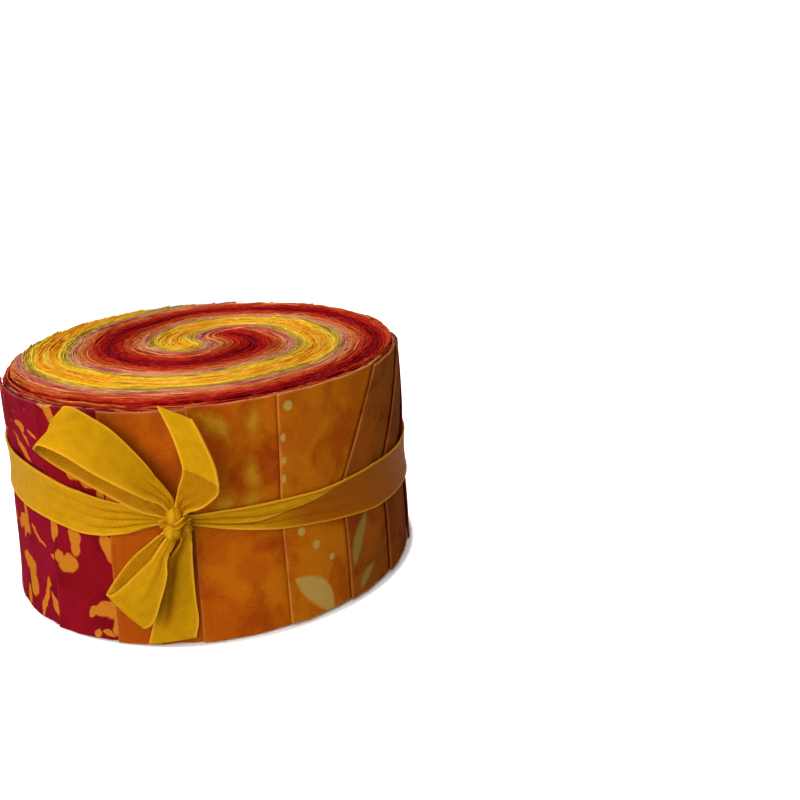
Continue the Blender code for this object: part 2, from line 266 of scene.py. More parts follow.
@dataclass
class Cloth:
    """Sheets and threads gathered into one mesh, every one a closed shell.

    A sheet is a grid of middle points, and its two faces lie half its thickness to each side along
    the grid's normals. UVs are millimetres along and across it, and every layer of values given
    with a sheet becomes an attribute of the mesh.
    """

    # A direction that no thread runs in, which the sides of its section are taken from
    THREAD_SIDE = np.array([0.31, 0.17, 0.94])

    name: str
    thread_taper: float = 0.6
    points: list = field(default_factory=list)
    faces: list = field(default_factory=list)
    places: list = field(default_factory=list)
    values: dict = field(default_factory=dict)
    count: int = 0

    def keep(self, points: Array, faces: list, places: list, values: dict) -> None:
        """Gather one shell.

        Args:
            points: Its points, one row each.
            faces: Tables of corners, numbered from its own first point.
            places: The UVs of those corners, table by table.
            values: Rows of each attribute's values, one for each point.
        """
        self.points.append(points)
        self.faces += [self.count + table.reshape(-1, 4) for table in faces]
        self.places += [table.reshape(-1, 2) for table in places]
        for name, rows in values.items():
            self.values.setdefault(name, []).append(rows.reshape(len(points), -1))
        self.count += len(points)

    def add(self, grid: Array, uv: Array, thickness: Values, closed: bool = False,
            **values: Values) -> None:
        """Add one sheet: its front, its back and the rims between.

        Args:
            grid: Middle points, shaped (rows, columns, 3).
            uv: Millimetres along and across, shaped (rows, columns, 2), one row more if closed.
            thickness: The sheet's thickness in metres, a number or one for each point.
            closed: Whether the last row joins the first.
            values: Numbers or colours for each point, by attribute name.
        """
        rows, columns = grid.shape[:2]
        half = grid_normals(grid, closed) * np.broadcast_to(thickness, (rows, columns))[..., None] / 2
        front = np.arange(rows * columns).reshape(rows, columns)
        if closed:
            front = np.vstack([front, front[:1]])
        back = front + rows * columns
        rims = [(front[:, -1], back[:, -1], uv[:, -1]), (back[:, 0], front[:, 0], uv[:, 0])]
        if not closed:
            rims += [(front[0], back[0], uv[0]), (back[-1], front[-1], uv[-1])]
        tables = [front, back[:, ::-1]] + [np.stack([one, other], axis=1) for one, other, _ in rims]
        places = [uv, uv[:, ::-1]] + [np.stack([at, at], axis=1) for _, _, at in rims]
        spread = {}
        for name, value in values.items():
            value = np.asarray(value, dtype=np.float32)
            shape = (rows, columns, 4) if value.ndim and value.shape[-1] == 4 else (rows, columns)
            flat = np.broadcast_to(value, shape).reshape(rows * columns, -1)
            spread[name] = np.vstack([flat, flat])
        points = np.vstack([(grid + half).reshape(-1, 3), (grid - half).reshape(-1, 3)])
        self.keep(points, [corners(table) for table in tables], [corners(at) for at in places], spread)

    def add_threads(self, paths: Array, radius: float, **values: Array) -> None:
        """Add many thin threads, square in section so that each has few faces.

        Args:
            paths: Points along each thread, shaped (threads, points, 3).
            radius: Half a thread's thickness from corner to corner, in metres.
            values: Rows of numbers or colours, one for each thread, by attribute name.
        """
        threads, steps = paths.shape[:2]
        along = unit(np.gradient(paths, axis=1))
        aside = unit(np.cross(along, self.THREAD_SIDE))
        over = np.cross(aside, along)
        taper = radius * (1.0 - self.thread_taper * np.linspace(0.0, 1.0, steps) ** 2)
        ring = np.stack([aside, over, -aside, -over], axis=2) * taper[None, :, None, None]
        points = (paths[:, :, None] + ring).reshape(-1, 3)
        side = np.arange(4)
        after = np.roll(side, -1)
        first = (np.arange(threads) * steps * 4)[:, None]
        level = np.arange(steps - 1)[:, None] * 4
        walls = np.stack([level + side, level + 4 + side, level + 4 + after, level + after], axis=-1)
        far = (steps - 1) * 4 + side[::-1]
        tables = [(first + one.reshape(-1)).reshape(-1, 4) for one in (walls, side, far)]
        spread = {name: np.repeat(np.asarray(value, dtype=np.float32), steps * 4, axis=0)
                  for name, value in values.items()}
        self.keep(points, tables, [np.zeros((table.size, 2)) for table in tables], spread)

    def make(self, material: Material, smooth_under: float = 50.0) -> Piece:
        """Put the shells into one mesh object.

        Args:
            material: The finish of the whole piece.
            smooth_under: Edges that turn by more than this many degrees stay sharp.

        Returns:
            The new object, at the origin.
        """
        points, faces = np.vstack(self.points), np.vstack(self.faces)
        mesh = bpy.data.meshes.new(self.name)
        mesh.vertices.add(len(points))
        mesh.vertices.foreach_set("co", points.astype(np.float32).ravel())
        mesh.loops.add(faces.size)
        mesh.loops.foreach_set("vertex_index", faces.astype(np.int32).ravel())
        mesh.polygons.add(len(faces))
        mesh.polygons.foreach_set("loop_start", np.arange(0, faces.size, 4, dtype=np.int32))
        mesh.update(calc_edges=True)
        places = np.vstack(self.places).astype(np.float32)
        mesh.uv_layers.new(name="weave").data.foreach_set("uv", places.ravel())
        for name, rows in self.values.items():
            table = np.vstack(rows).astype(np.float32)
            kind, key = ("FLOAT_COLOR", "color") if table.shape[1] == 4 else ("FLOAT", "value")
            mesh.attributes.new(name, kind, "POINT").data.foreach_set(key, table.ravel())
        mesh.shade_smooth()
        mesh.set_sharp_from_angle(angle=math.radians(smooth_under))
        mesh.materials.append(material)
        return put_in_scene(self.name, mesh)


def settle(piece: Piece, slot: str, *stands_for: str) -> Piece:
    """Let a piece ride on the roll and stand for CAD nodes.

    Args:
        piece: The piece.
        slot: Not used.
        stands_for: The CAD nodes that it is shown instead of.

    Returns:
        The same piece.
    """
    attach(piece, "root")
    if stands_for:
        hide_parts(*stands_for)
    return piece


# Finishes


class Figure(Enum):
    """The shapes that wax keeps free of the last dye."""

    DOT = "dot"
    LEAF = "leaf"
    ISLAND = "island"


DOT, LEAF, ISLAND = Figure


class Repeat(Enum):
    """Figures that come again and again over the whole cloth."""

    NONE = "none"
    SPECKS = "small islands"
    DOTS = "dots"
    LEAVES = "leaves"


class Cells(NamedTuple):
    """How repeated figures lie: their rows' turn in degrees, a cell's width over its height, its
    width in mm, how freely the figures are scattered, and how much of a cell each one fills."""

    turn: float
    width_share: float
    apart: float
    scatter: float
    reach: float


CELLS = {Repeat.DOTS: Cells(0.0, 1.0, 9.0, 0.35, 0.18), Repeat.LEAVES: Cells(35.0, 0.5, 6.5, 0.8, 0.40)}


class Mark(NamedTuple):
    """One waxed figure: its kind, its middle from the strip end's left fold and foot, its half
    length and half width in mm, and its turn in degrees."""

    figure: Figure
    across: float
    up: float
    half_long: float
    half_wide: float
    turn: float = 0.0


@dataclass(frozen=True)
class BatikCotton:
    """Batik cotton: plain-weave quilting cloth, dyed by hand in clouds over wax that resists the dye.

    The eye sees soft cloudy mottling with darker tide lines, figures whose edges the dye has crept
    under, a matt face and a fine even weave.
    """

    # A leaf's shape: how it narrows along its length, its least fullness, its bend and its offset
    LEAF_TAPER, LEAF_LEAST, LEAF_BEND, LEAF_OFFSET = -0.2, 0.4, 0.5, 0.15
    # Small islands of wax: their slant in degrees and how stretched they are
    SPECK_SLANT, SPECK_STRETCH = -24.0, 0.75

    name: str
    ground: str
    cloud: str
    deep: str
    figure: str = "#d8c070"
    rim: str = "#c89040"
    marks: tuple[Mark, ...] = ()
    repeat: Repeat = Repeat.NONE
    figure_share: float = 0.9
    softness: float = 0.08
    crept_mm: float = 0.0
    cloud_mm: float = 11.0
    seed: float = 0.0
    # The real threads lie 0.25 mm apart; they are drawn 0.42 mm apart, as finer ones don't show
    thread_mm: float = 0.42
    # Where the tide line lies in the wide clouds' noise
    tide_at: float = 0.54
    # How strong a figure's rim is, and its width as a share of the softness
    rim_share: float = 0.8
    rim_wide: float = 1.6

    def clouds(self, add: AddNode, place: Socket) -> Socket:
        """Dye the ground: wide soft clouds, smaller deep ones, and a faint tide line round them.

        Args:
            add: The material's adding function.
            place: Millimetres across and up.

        Returns:
            The dyed colour.
        """
        wide = add("TexNoise", {"Vector": place, "W": self.seed, "Scale": 1.0 / self.cloud_mm, "Detail": 2.0,
                                "Roughness": 0.5, "Distortion": 0.4}, **SEEDED)
        small = add("TexNoise", {"Vector": place, "W": self.seed + 7.0, "Scale": 1.4 / self.cloud_mm,
                                 "Detail": 3.0, "Roughness": 0.55, "Distortion": 0.5}, **SEEDED)
        off = add("Math", {0: wide, 1: self.tide_at}, operation="SUBTRACT")
        near = add("Math", {0: off}, operation="ABSOLUTE")
        dyed = linear(self.ground)
        # Each layer's noise, where in it the dye starts and is whole, its strength and its colour
        for noise, start, end, most, colour in (
                (wide, 0.40, 0.64, 1.0, self.cloud), (small, 0.48, 0.68, 0.75, self.deep),
                (near, 0.03, 0.0, 0.15, self.deep)):
            share = add("MapRange", {"Value": noise, "From Min": start, "From Max": end, "To Max": most},
                        **SMOOTH)
            dyed = add("Mix", {SHARE: share, FIRST: dyed, SECOND: linear(colour)}, MIXED, **COLOURS)
        return dyed

    def crept(self, add: AddNode, place: Socket) -> Socket:
        """Shift places by a slow noise, so that figures get the wandering edges of brushed wax.

        Args:
            add: The material's adding function.
            place: Millimetres across and up.

        Returns:
            The shifted places.
        """
        wobble = add("TexNoise", {"Vector": place, "W": self.seed + 3.0, "Scale": 0.17, "Detail": 2.6,
                                  "Roughness": 0.55}, "Color", **SEEDED)
        aside = add("VectorMath", {0: wobble, 1: (0.5, 0.5, 0.5)}, operation="SUBTRACT")
        reach = (2.0 * self.crept_mm, 2.0 * self.crept_mm, 0.0)
        return add("VectorMath", {0: aside, 1: reach, 2: place}, operation="MULTIPLY_ADD")

    def inside(self, add: AddNode, place: Socket, mark: Mark) -> Socket:
        """How far a place lies inside a figure: 1 in its middle, 0 on its outline, less outside.

        A dot or island is one less the distance from its middle. A leaf's half width is one less
        the square of the place along it, wider towards its start, about a bent middle line.

        Args:
            add: The material's adding function.
            place: Millimetres across and up.
            mark: The figure.

        Returns:
            The share.
        """
        local = add("Mapping", {
            "Vector": place, "Location": (mark.across, mark.up, 0.0),
            "Rotation": (0.0, 0.0, math.radians(mark.turn)),
            "Scale": (mark.half_long, mark.half_wide, 1.0)}, vector_type="TEXTURE")
        if mark.figure is not LEAF:
            away = add("VectorMath", {0: local}, "Value", operation="LENGTH")
            return add("Math", {0: 1.0, 1: away}, operation="SUBTRACT")
        along = add("SeparateXYZ", {"Vector": local}, "X")
        aside = along.node.outputs["Y"]
        squared = add("Math", {0: along, 1: along}, operation="MULTIPLY")
        half = add("Math", {0: squared, 1: -1.0, 2: 1.0}, operation="MULTIPLY_ADD")
        fuller = add("Math", {0: along, 1: self.LEAF_TAPER, 2: 1.0}, operation="MULTIPLY_ADD")
        fuller = add("Math", {0: fuller, 1: self.LEAF_LEAST}, operation="MAXIMUM")
        reach = add("Math", {0: half, 1: fuller}, operation="MULTIPLY")
        bend = add("Math", {0: squared, 1: self.LEAF_BEND, 2: aside}, operation="MULTIPLY_ADD")
        off = add("Math", {0: bend, 1: self.LEAF_OFFSET}, operation="SUBTRACT")
        off = add("Math", {0: off}, operation="ABSOLUTE")
        return add("Math", {0: reach, 1: off}, operation="SUBTRACT")

    def repeated(self, add: AddNode, place: Socket) -> Socket:
        """The same share for the figures that come again: cells of a Voronoi pattern, or noise.

        Args:
            add: The material's adding function.
            place: Millimetres across and up.

        Returns:
            The share.
        """
        if self.repeat is Repeat.SPECKS:
            slant = add("Mapping", {"Vector": place, "Rotation": (0.0, 0.0, math.radians(self.SPECK_SLANT)),
                                    "Scale": (1.0, self.SPECK_STRETCH, 1.0)})
            wax = add("TexNoise", {"Vector": slant, "W": self.seed, "Scale": 0.17, "Detail": 1.8,
                                   "Roughness": 0.5, "Distortion": 1.0}, **SEEDED)
            return add("MapRange", {"Value": wax, "From Min": 0.62, "From Max": 0.72}, clamp=False)
        cells = CELLS[self.repeat]
        slant = add("Mapping", {"Vector": place, "Rotation": (0.0, 0.0, math.radians(cells.turn)),
                                "Scale": (1.0, cells.width_share, 1.0)})
        away = add("TexVoronoi", {"Vector": slant, "Scale": 1.0 / cells.apart, "Randomness": cells.scatter},
                   "Distance", voronoi_dimensions="2D")
        return add("MapRange", {"Value": away, "From Max": cells.reach, "To Min": 1.0, "To Max": 0.0},
                   clamp=False)

    def waxed(self, add: AddNode, place: Socket, dyed: Socket) -> Socket:
        """Lay the figures over the dyed ground, with a rim where the dye has crept under the wax.

        Args:
            add: The material's adding function.
            place: Millimetres across and up.
            dyed: The ground's colour.

        Returns:
            The colour with the figures on it.
        """
        if not self.marks and self.repeat is Repeat.NONE:
            return dyed
        if self.crept_mm:
            place = self.crept(add, place)
        shares = [self.inside(add, place, mark) for mark in self.marks]
        if self.repeat is not Repeat.NONE:
            shares.append(self.repeated(add, place))
        inside = shares[0]
        for share in shares[1:]:
            inside = add("Math", {0: inside, 1: share}, operation="MAXIMUM")
        rim, figure = (self.rim, 0.0, self.rim_share), (self.figure, self.rim_wide * self.softness, 1.0)
        for colour, start, top in (rim, figure):
            part = add("MapRange", {"Value": inside, "From Min": start - self.softness,
                                    "From Max": start + self.softness,
                                    "To Max": top * self.figure_share}, **SMOOTH)
            dyed = add("Mix", {SHARE: part, FIRST: dyed, SECOND: linear(colour)}, MIXED, **COLOURS)
        return dyed

    def make(self) -> Material:
        """Build the cloth: clouds, figures, a pale fold line that is partly worn cloth and partly a painted
        highlight, paler cut edges, painted shade in the crack by the next fold, and the weave.

        Returns:
            The material, which reads the piece's UV map and its "fold", "cut" and "under" attributes; "under"
            paints shade into the crack by the next fold.
        """
        material, add, shader = new_material(self.name)
        place = add("UVMap", {}, uv_map="weave")
        dyed = self.waxed(add, place, self.clouds(add, place))
        # A pale tint for the fold line, partly worn cloth and partly a painted highlight, and for the cut
        # edge; and a dark tint, painted shade for the crack under the next fold
        paler = add("HueSaturation", {"Saturation": 0.88, "Value": 1.6, "Color": dyed})
        deeper = add("HueSaturation", {"Saturation": 1.05, "Value": 0.36, "Color": dyed})
        for part, most, tint in (("fold", 0.2, paler), ("cut", 0.9, paler), ("under", 0.7, deeper)):
            amount = add("Attribute", {}, "Fac", attribute_name=part)
            share = add("Math", {0: amount, 1: most}, operation="MULTIPLY")
            dyed = add("Mix", {SHARE: share, FIRST: dyed, SECOND: tint}, MIXED, **COLOURS)
        drawn = add("Mapping", {"Vector": place, "Scale": (0.8, 2.4, 1.0)})
        slub = add("TexNoise", {"Vector": drawn, "Scale": 1.0, "Detail": 2.5})
        tone = add("MapRange", {"Value": slub, "From Min": 0.3, "From Max": 0.7, "To Min": 0.89,
                                "To Max": 1.11})
        woven = add("HueSaturation", {"Value": tone, "Color": dyed})
        waves = [add("TexWave", {"Vector": place, "Scale": WAVE / self.thread_mm, "Distortion": 0.4,
                                 "Detail": 1.0}, "Fac", bands_direction=way) for way in ("X", "Y")]
        threads = add("Math", {0: waves[0], 1: waves[1], 2: slub}, operation="MULTIPLY_ADD")
        bump = add("Bump", {"Height": threads, "Strength": 0.5, "Distance": 0.0001})
        plug(shader, {"Base Color": woven, "Normal": bump, "Roughness": 0.9, "Specular IOR Level": 0.02})
        return material


@dataclass(frozen=True)
class CutEdges:
    """The cut edges of dyed cotton strips, packed side by side.

    The eye sees fine streaks, as each edge is a little higher or lower than the next, with paler broken
    threads where the blade has fluffed them, partly brightened by a painted highlight, and painted shade down
    in the gaps between.
    """

    name: str = "cut_batik_edges"
    # How fine the patches and the fluff are, by the millimetre, and how far apart strips' seeds lie
    patch_scale: float = 0.05
    fluff_scale: float = 0.5
    seed_step: float = 61.0

    def make(self) -> Material:
        """Build the finish from each strip's own two colours.

        Returns:
            The material, which reads the "dye", "second_dye" and "strip" attributes and the UV map.
        """
        material, add, shader = new_material(self.name)
        place = add("UVMap", {}, uv_map="weave")
        strip, dye, second = (add("Attribute", {}, out, attribute_name=name) for name, out in (
            ("strip", "Fac"), ("dye", "Color"), ("second_dye", "Color")))
        under = add("SeparateXYZ", {"Vector": place}, "Y")
        seed = add("Math", {0: strip, 1: self.seed_step}, operation="MULTIPLY")
        patches, fluff = (add("TexNoise", {"Vector": place, "W": seed, "Scale": size, "Detail": 3.0,
                                           "Roughness": rough}, **SEEDED)
                          for size, rough in ((self.patch_scale, 0.6), (self.fluff_scale, 0.5)))
        turned = add("MapRange", {"Value": patches, "From Min": 0.42, "From Max": 0.60}, **SMOOTH)
        dyed = add("Mix", {SHARE: turned, FIRST: dye, SECOND: second}, MIXED, **COLOURS)
        # A pale tint for the fluffed tips, partly paler broken threads and partly a painted highlight, and a
        # dark tint, painted shade down between the edges
        paler = add("HueSaturation", {"Saturation": 0.9, "Value": 1.42, "Color": dyed})
        deeper = add("HueSaturation", {"Saturation": 1.1, "Value": 0.38, "Color": dyed})
        tip = add("MapRange", {"Value": under, "From Min": -0.35, "From Max": -0.05, "To Max": 0.8}, **SMOOTH)
        frayed = add("MapRange", {"Value": fluff, "From Min": 0.52, "From Max": 0.68}, **SMOOTH)
        frayed = add("Math", {0: frayed, 1: tip}, operation="MULTIPLY")
        dyed = add("Mix", {SHARE: frayed, FIRST: dyed, SECOND: paler}, MIXED, **COLOURS)
        # Painted shade, deeper the further a place lies below the top edge
        shade_below_top = add("MapRange", {"Value": under, "From Min": -0.06, "From Max": -0.55, "To Max": 0.9}, **SMOOTH)
        dyed = add("Mix", {SHARE: shade_below_top, FIRST: dyed, SECOND: deeper}, MIXED, **COLOURS)
        bump = add("Bump", {"Height": fluff, "Strength": 0.35, "Distance": 0.0002})
        plug(shader, {"Base Color": dyed, "Normal": bump, "Roughness": 0.92, "Specular IOR Level": 0.02})
        return material


@dataclass(frozen=True)
class TwillRibbon:
    """Polyester twill ribbon, woven with steep diagonal ribs and firm selvedges.

    The eye sees fine slanted ribs with a silky glow and painted shade in their hollows, a smooth paler cord
    along each edge, and painted shade down in the creases.
    """

    name: str = "polyester_twill_ribbon"
    yarn: str = "#ca9704"
    # The painted shade in the ribs' hollows; the paler selvedge cord, whose tint also paints the highlights
    # on the band's turned edge and on the knot's ridges; and the painted shade in creases, gathers and rows
    # that face away
    rib_hollow_shade: str = "#743802"
    selvedge: str = "#d89a2c"
    crease: str = "#8a3602"
    # The real ribs lie 0.45 mm apart; they are drawn 0.54 mm apart, as finer ones don't show
    rib_mm: float = 0.54
    pick_mm: float = 0.5
    rib_slant: float = 20.0

    def make(self) -> Material:
        """Build the ribbon's finish.

        Returns:
            The material, which reads the UV map, along and across, the edge attribute, for the paler selvedge
            and painted highlights, and the crease attribute, for painted shade.
        """
        material, add, shader = new_material(self.name)
        place = add("UVMap", {}, uv_map="weave")
        # The edge share carries the selvedge and the painted highlights, and the crease share, taken here as
        # fold, carries the painted shade
        edge, fold = (add("Attribute", {}, "Fac", attribute_name=name) for name in ("edge", "crease"))
        turned = add("Mapping", {"Vector": place, "Rotation": (0.0, 0.0, math.radians(self.rib_slant))})
        rib = add("TexWave", {"Vector": turned, "Scale": WAVE / self.rib_mm, "Distortion": 0.3, "Detail": 1.0,
                              "Detail Scale": 2.0}, "Fac", bands_direction="Y")
        pick = add("TexWave", {"Vector": turned, "Scale": WAVE / self.pick_mm, "Distortion": 0.3}, "Fac",
                   bands_direction="X")
        uneven = add("TexNoise", {"Vector": place, "Scale": 0.35, "Detail": 3.0})
        woven = add("Math", {0: pick, 1: 0.3, 2: rib}, operation="MULTIPLY_ADD")
        inner = add("Math", {0: 1.0, 1: edge}, operation="SUBTRACT")
        relief = add("Math", {0: woven, 1: inner}, operation="MULTIPLY")
        # Painted shade in the hollows between the ribs
        shade = add("MapRange", {"Value": rib, "From Min": 1.0, "From Max": 0.0, "To Max": 0.6})
        shade = add("Math", {0: shade, 1: inner}, operation="MULTIPLY")
        colour = add("Mix", {SHARE: shade, FIRST: linear(self.yarn), SECOND: linear(self.rib_hollow_shade)}, MIXED,
                     **COLOURS)
        tone = add("MapRange", {"Value": uneven, "From Min": 0.3, "From Max": 0.7, "To Min": 0.9,
                                "To Max": 1.1})
        colour = add("HueSaturation", {"Value": tone, "Color": colour})
        # Tint the selvedge and the painted highlights paler, and paint shade into the creases
        for amount, most, tint in ((edge, 0.5, self.selvedge), (fold, 0.9, self.crease)):
            share = add("Math", {0: amount, 1: most}, operation="MULTIPLY")
            colour = add("Mix", {SHARE: share, FIRST: colour, SECOND: linear(tint)}, MIXED, **COLOURS)
        bump = add("Bump", {"Height": relief, "Strength": 0.6, "Distance": 0.0001})
        plug(shader, {"Base Color": colour, "Normal": bump, "Roughness": 0.6, "Specular IOR Level": 0.03})
        return material


CRIMSON = BatikCotton(
    "crimson_batik", "#7e0c20", "#860e28", "#64080e", "#bc741c", "#a82c0c", cloud_mm=16.0, seed=2.0,
    repeat=Repeat.SPECKS, softness=0.07, crept_mm=2.4, marks=(
        Mark(ISLAND, 21.6, 53.4, 2.0, 1.3, 10.0),
        Mark(LEAF, 22.8, 50.9, 2.9, 0.6, -52.0),
        Mark(LEAF, 19.8, 53.8, 2.4, 0.6, 15.0),
        Mark(LEAF, 20.6, 47.0, 5.6, 1.2, -40.0),
        Mark(LEAF, 27.2, 52.2, 2.1, 0.7, -42.0),
        Mark(LEAF, 31.2, 56.0, 1.8, 0.4, -85.0),
        Mark(ISLAND, 15.0, 28.0, 1.8, 6.5, 8.0),
        Mark(ISLAND, 13.5, 13.0, 5.0, 2.8, -14.0),
        Mark(ISLAND, 15.8, 8.0, 2.6, 5.2, 14.0),
        Mark(ISLAND, 11.8, 3.0, 2.0, 3.4, 10.0),
        Mark(LEAF, 22.2, 5.6, 6.6, 1.3, 68.0),
        Mark(LEAF, 26.8, 5.6, 3.4, 1.3, -68.0)))
CRIMSON_DEEP = BatikCotton(
    "deep_crimson_batik", "#780a12", "#800c1c", "#60060e", "#b8721c", "#982a0c", cloud_mm=18.0, seed=5.0,
    softness=0.07, crept_mm=2.4, marks=(
        Mark(ISLAND, 3.4, 62.0, 2.9, 1.7, -12.0),
        Mark(LEAF, 5.6, 58.8, 4.6, 1.2, -56.0),
        Mark(ISLAND, 9.8, 44.4, 1.9, 2.3, 0.0),
        Mark(ISLAND, 13.4, 42.4, 3.8, 1.2, -24.0),
        Mark(ISLAND, 17.2, 40.4, 1.2, 1.9, 20.0),
        Mark(LEAF, 0.4, 27.8, 3.6, 1.7, -70.0),
        Mark(ISLAND, 8.0, 26.0, 2.2, 4.8, 4.0),
        Mark(ISLAND, 5.2, 19.4, 3.8, 2.5, 8.0),
        Mark(ISLAND, 2.2, 21.2, 1.4, 2.0, 0.0),
        Mark(LEAF, 18.8, 25.0, 4.8, 2.6, -62.0),
        Mark(ISLAND, 16.4, 7.8, 3.4, 2.8, 30.0),
        Mark(LEAF, 13.2, 7.0, 2.8, 1.2, 14.0),
        Mark(ISLAND, 18.8, 4.2, 1.8, 3.8, 0.0),
        Mark(ISLAND, 12.8, 1.0, 0.9, 1.4, 0.0),
        Mark(LEAF, 16.2, 1.4, 2.4, 1.0, -20.0)))
BURNT_ORANGE = BatikCotton("burnt_orange_batik", "#a45a10", "#a83a10", "#8c2c08", cloud_mm=9.0, seed=1.0)
RUSSET = BatikCotton("russet_orange_batik", "#a85208", "#9a4407", "#8a3806", cloud_mm=17.0, seed=3.0)
AMBER = BatikCotton(
    "amber_batik", "#b06008", "#a24a06", "#8c2e04", "#b88a1e", "#ac7010", cloud_mm=17.0, seed=4.0,
    figure_share=0.55, softness=0.34, crept_mm=3.0, marks=(
        Mark(LEAF, 6.6, 56.6, 7.0, 2.6, -50.0),
        Mark(ISLAND, 15.8, 56.4, 2.4, 4.6, 4.0),
        Mark(ISLAND, 14.6, 43.0, 2.4, 5.6, 6.0),
        Mark(ISLAND, 14.6, 36.4, 4.2, 4.0, 0.0),
        Mark(ISLAND, 7.6, 37.2, 2.8, 3.4, -10.0)))
LEAF_ORANGE = BatikCotton(
    "orange_leaf_batik", "#b4680a", "#aa5a08", "#963e05", "#b0904a", "#b07e24", cloud_mm=17.0, seed=6.0,
    figure_share=0.92, marks=(
        Mark(DOT, 2.4, 58.8, 1.3, 1.4),
        Mark(DOT, 0.75, 51.0, 0.75, 1.2),
        Mark(DOT, 0.7, 45.0, 0.7, 1.1),
        Mark(DOT, 0.6, 40.2, 0.6, 1.3),
        Mark(DOT, 4.8, 24.7, 1.15, 1.2),
        Mark(DOT, 8.7, 19.9, 1.1, 1.3),
        Mark(DOT, 13.2, 14.9, 0.9, 1.05),
        Mark(LEAF, 8.0, 6.0, 9.4, 3.5, -53.0)))
OLIVE_ORANGE = BatikCotton(
    "olive_orange_batik", "#984e0e", "#884c10", "#782e08", "#94803c", "#886424", cloud_mm=12.0, seed=8.0,
    figure_share=0.75, softness=0.16, crept_mm=0.8, marks=(
        Mark(LEAF, 4.4, 16.5, 8.5, 2.4, 62.0),
        Mark(LEAF, 6.4, 4.6, 4.6, 1.8, 35.0)))
BROWN_ORANGE = BatikCotton("brown_orange_batik", "#84440e", "#78380e", "#682408", cloud_mm=14.0, seed=9.0)
RED = BatikCotton("dark_red_batik", "#64160c", "#721c0c", "#4c0c06", cloud_mm=14.0, seed=10.0)
DOTTED = BatikCotton("dotted_orange_batik", "#c04c16", "#b03c10", "#a03008", "#d8c4a8", "#c88858",
                     repeat=Repeat.DOTS, cloud_mm=16.0, seed=16.0)
MAGENTA = BatikCotton("magenta_batik", "#a82c3c", "#a03e5c", "#8a1c2c", cloud_mm=14.0, seed=15.0)
ORANGE = BatikCotton("orange_batik", "#c06c14", "#b0540e", "#9c4008", cloud_mm=16.0, seed=14.0)
PEACH = BatikCotton("peach_batik", "#c47c38", "#b8662a", "#a45024", cloud_mm=16.0, seed=13.0)
OLIVE_LEAF = BatikCotton("olive_leaf_batik", "#948a40", "#867834", "#705c26", "#aca87c", "#9c9460",
                         repeat=Repeat.LEAVES, softness=0.1, figure_share=0.8, crept_mm=1.6, cloud_mm=14.0,
                         seed=12.0)
YELLOW = BatikCotton("yellow_batik", "#c89414", "#cca430", "#b07808", "#d4b850", "#c8a030",
                     repeat=Repeat.SPECKS, softness=0.15, figure_share=0.6, cloud_mm=14.0, seed=11.0)


# The roll's own shape


class StripEnd(NamedTuple):
    """A folded strip end: its left fold at the base in degrees, how far that fold leans right at
    the rim and from what height, how far its top lies under the rim and its foot over the table,
    all in mm, and its cloth."""

    name: str
    edge: float
    lean: float
    lean_from: float
    drop: float
    lift: float
    cotton: BatikCotton


STRIP_ENDS = (
    StripEnd("crimson_left", -68.0, -2.0, 20.0, 1.7, 0.6, CRIMSON),
    StripEnd("crimson_right", -38.5, 0.5, 0.0, 1.3, 0.5, CRIMSON_DEEP),
    StripEnd("russet", -19.3, 1.8, 0.0, 1.5, 0.4, RUSSET),
    StripEnd("amber", 2.7, 1.7, 0.0, 0.7, 0.5, AMBER),
    StripEnd("leaf_orange", 25.3, 1.5, 25.0, 0.5, 0.9, LEAF_ORANGE),
    StripEnd("olive_orange", 44.4, 17.0, 34.0, 0.9, 1.0, OLIVE_ORANGE),
    StripEnd("brown_orange", 62.8, 21.0, 33.0, 1.6, 1.2, BROWN_ORANGE),
    StripEnd("dark_red", 84.0, 12.0, 30.0, 2.3, 0.9, RED),
    StripEnd("dotted", 106.5, 4.0, 25.0, 2.2, 0.7, DOTTED),
    StripEnd("magenta_first", 129.5, -1.5, 0.0, 2.0, 0.9, MAGENTA),
    StripEnd("magenta_second", 152.0, 1.0, 0.0, 2.4, 0.5, MAGENTA),
    StripEnd("orange", 175.0, 2.0, 10.0, 2.1, 0.8, ORANGE),
    StripEnd("peach", 198.0, -1.0, 0.0, 2.5, 0.6, PEACH),
    StripEnd("olive_first", 221.0, 1.5, 15.0, 2.1, 1.0, OLIVE_LEAF),
    StripEnd("yellow", 245.0, 2.5, 20.0, 2.6, 0.7, YELLOW),
    StripEnd("burnt_orange", 268.0, 0.5, 0.0, 2.9, 0.5, BURNT_ORANGE),
)


def round_the_roll(angle: Values, radius: Values, height: Values) -> Array:
    """Points at angles from the front in degrees, radii and heights, as whole arrays."""
    turn = np.radians(angle)
    return np.stack(np.broadcast_arrays(radius * np.sin(turn), -radius * np.cos(turn), height), axis=-1)


def angle_of(line: Array) -> Array:
    """The angles of points on the table from the front, in degrees."""
    return np.degrees(np.arctan2(line[:, 0], -line[:, 1]))


def off_angle(angle: Values, middle: float) -> Values:
    """How far angles lie from a middle one, from -180 to 180 degrees."""
    return (angle - middle + 180.0) % 360.0 - 180.0


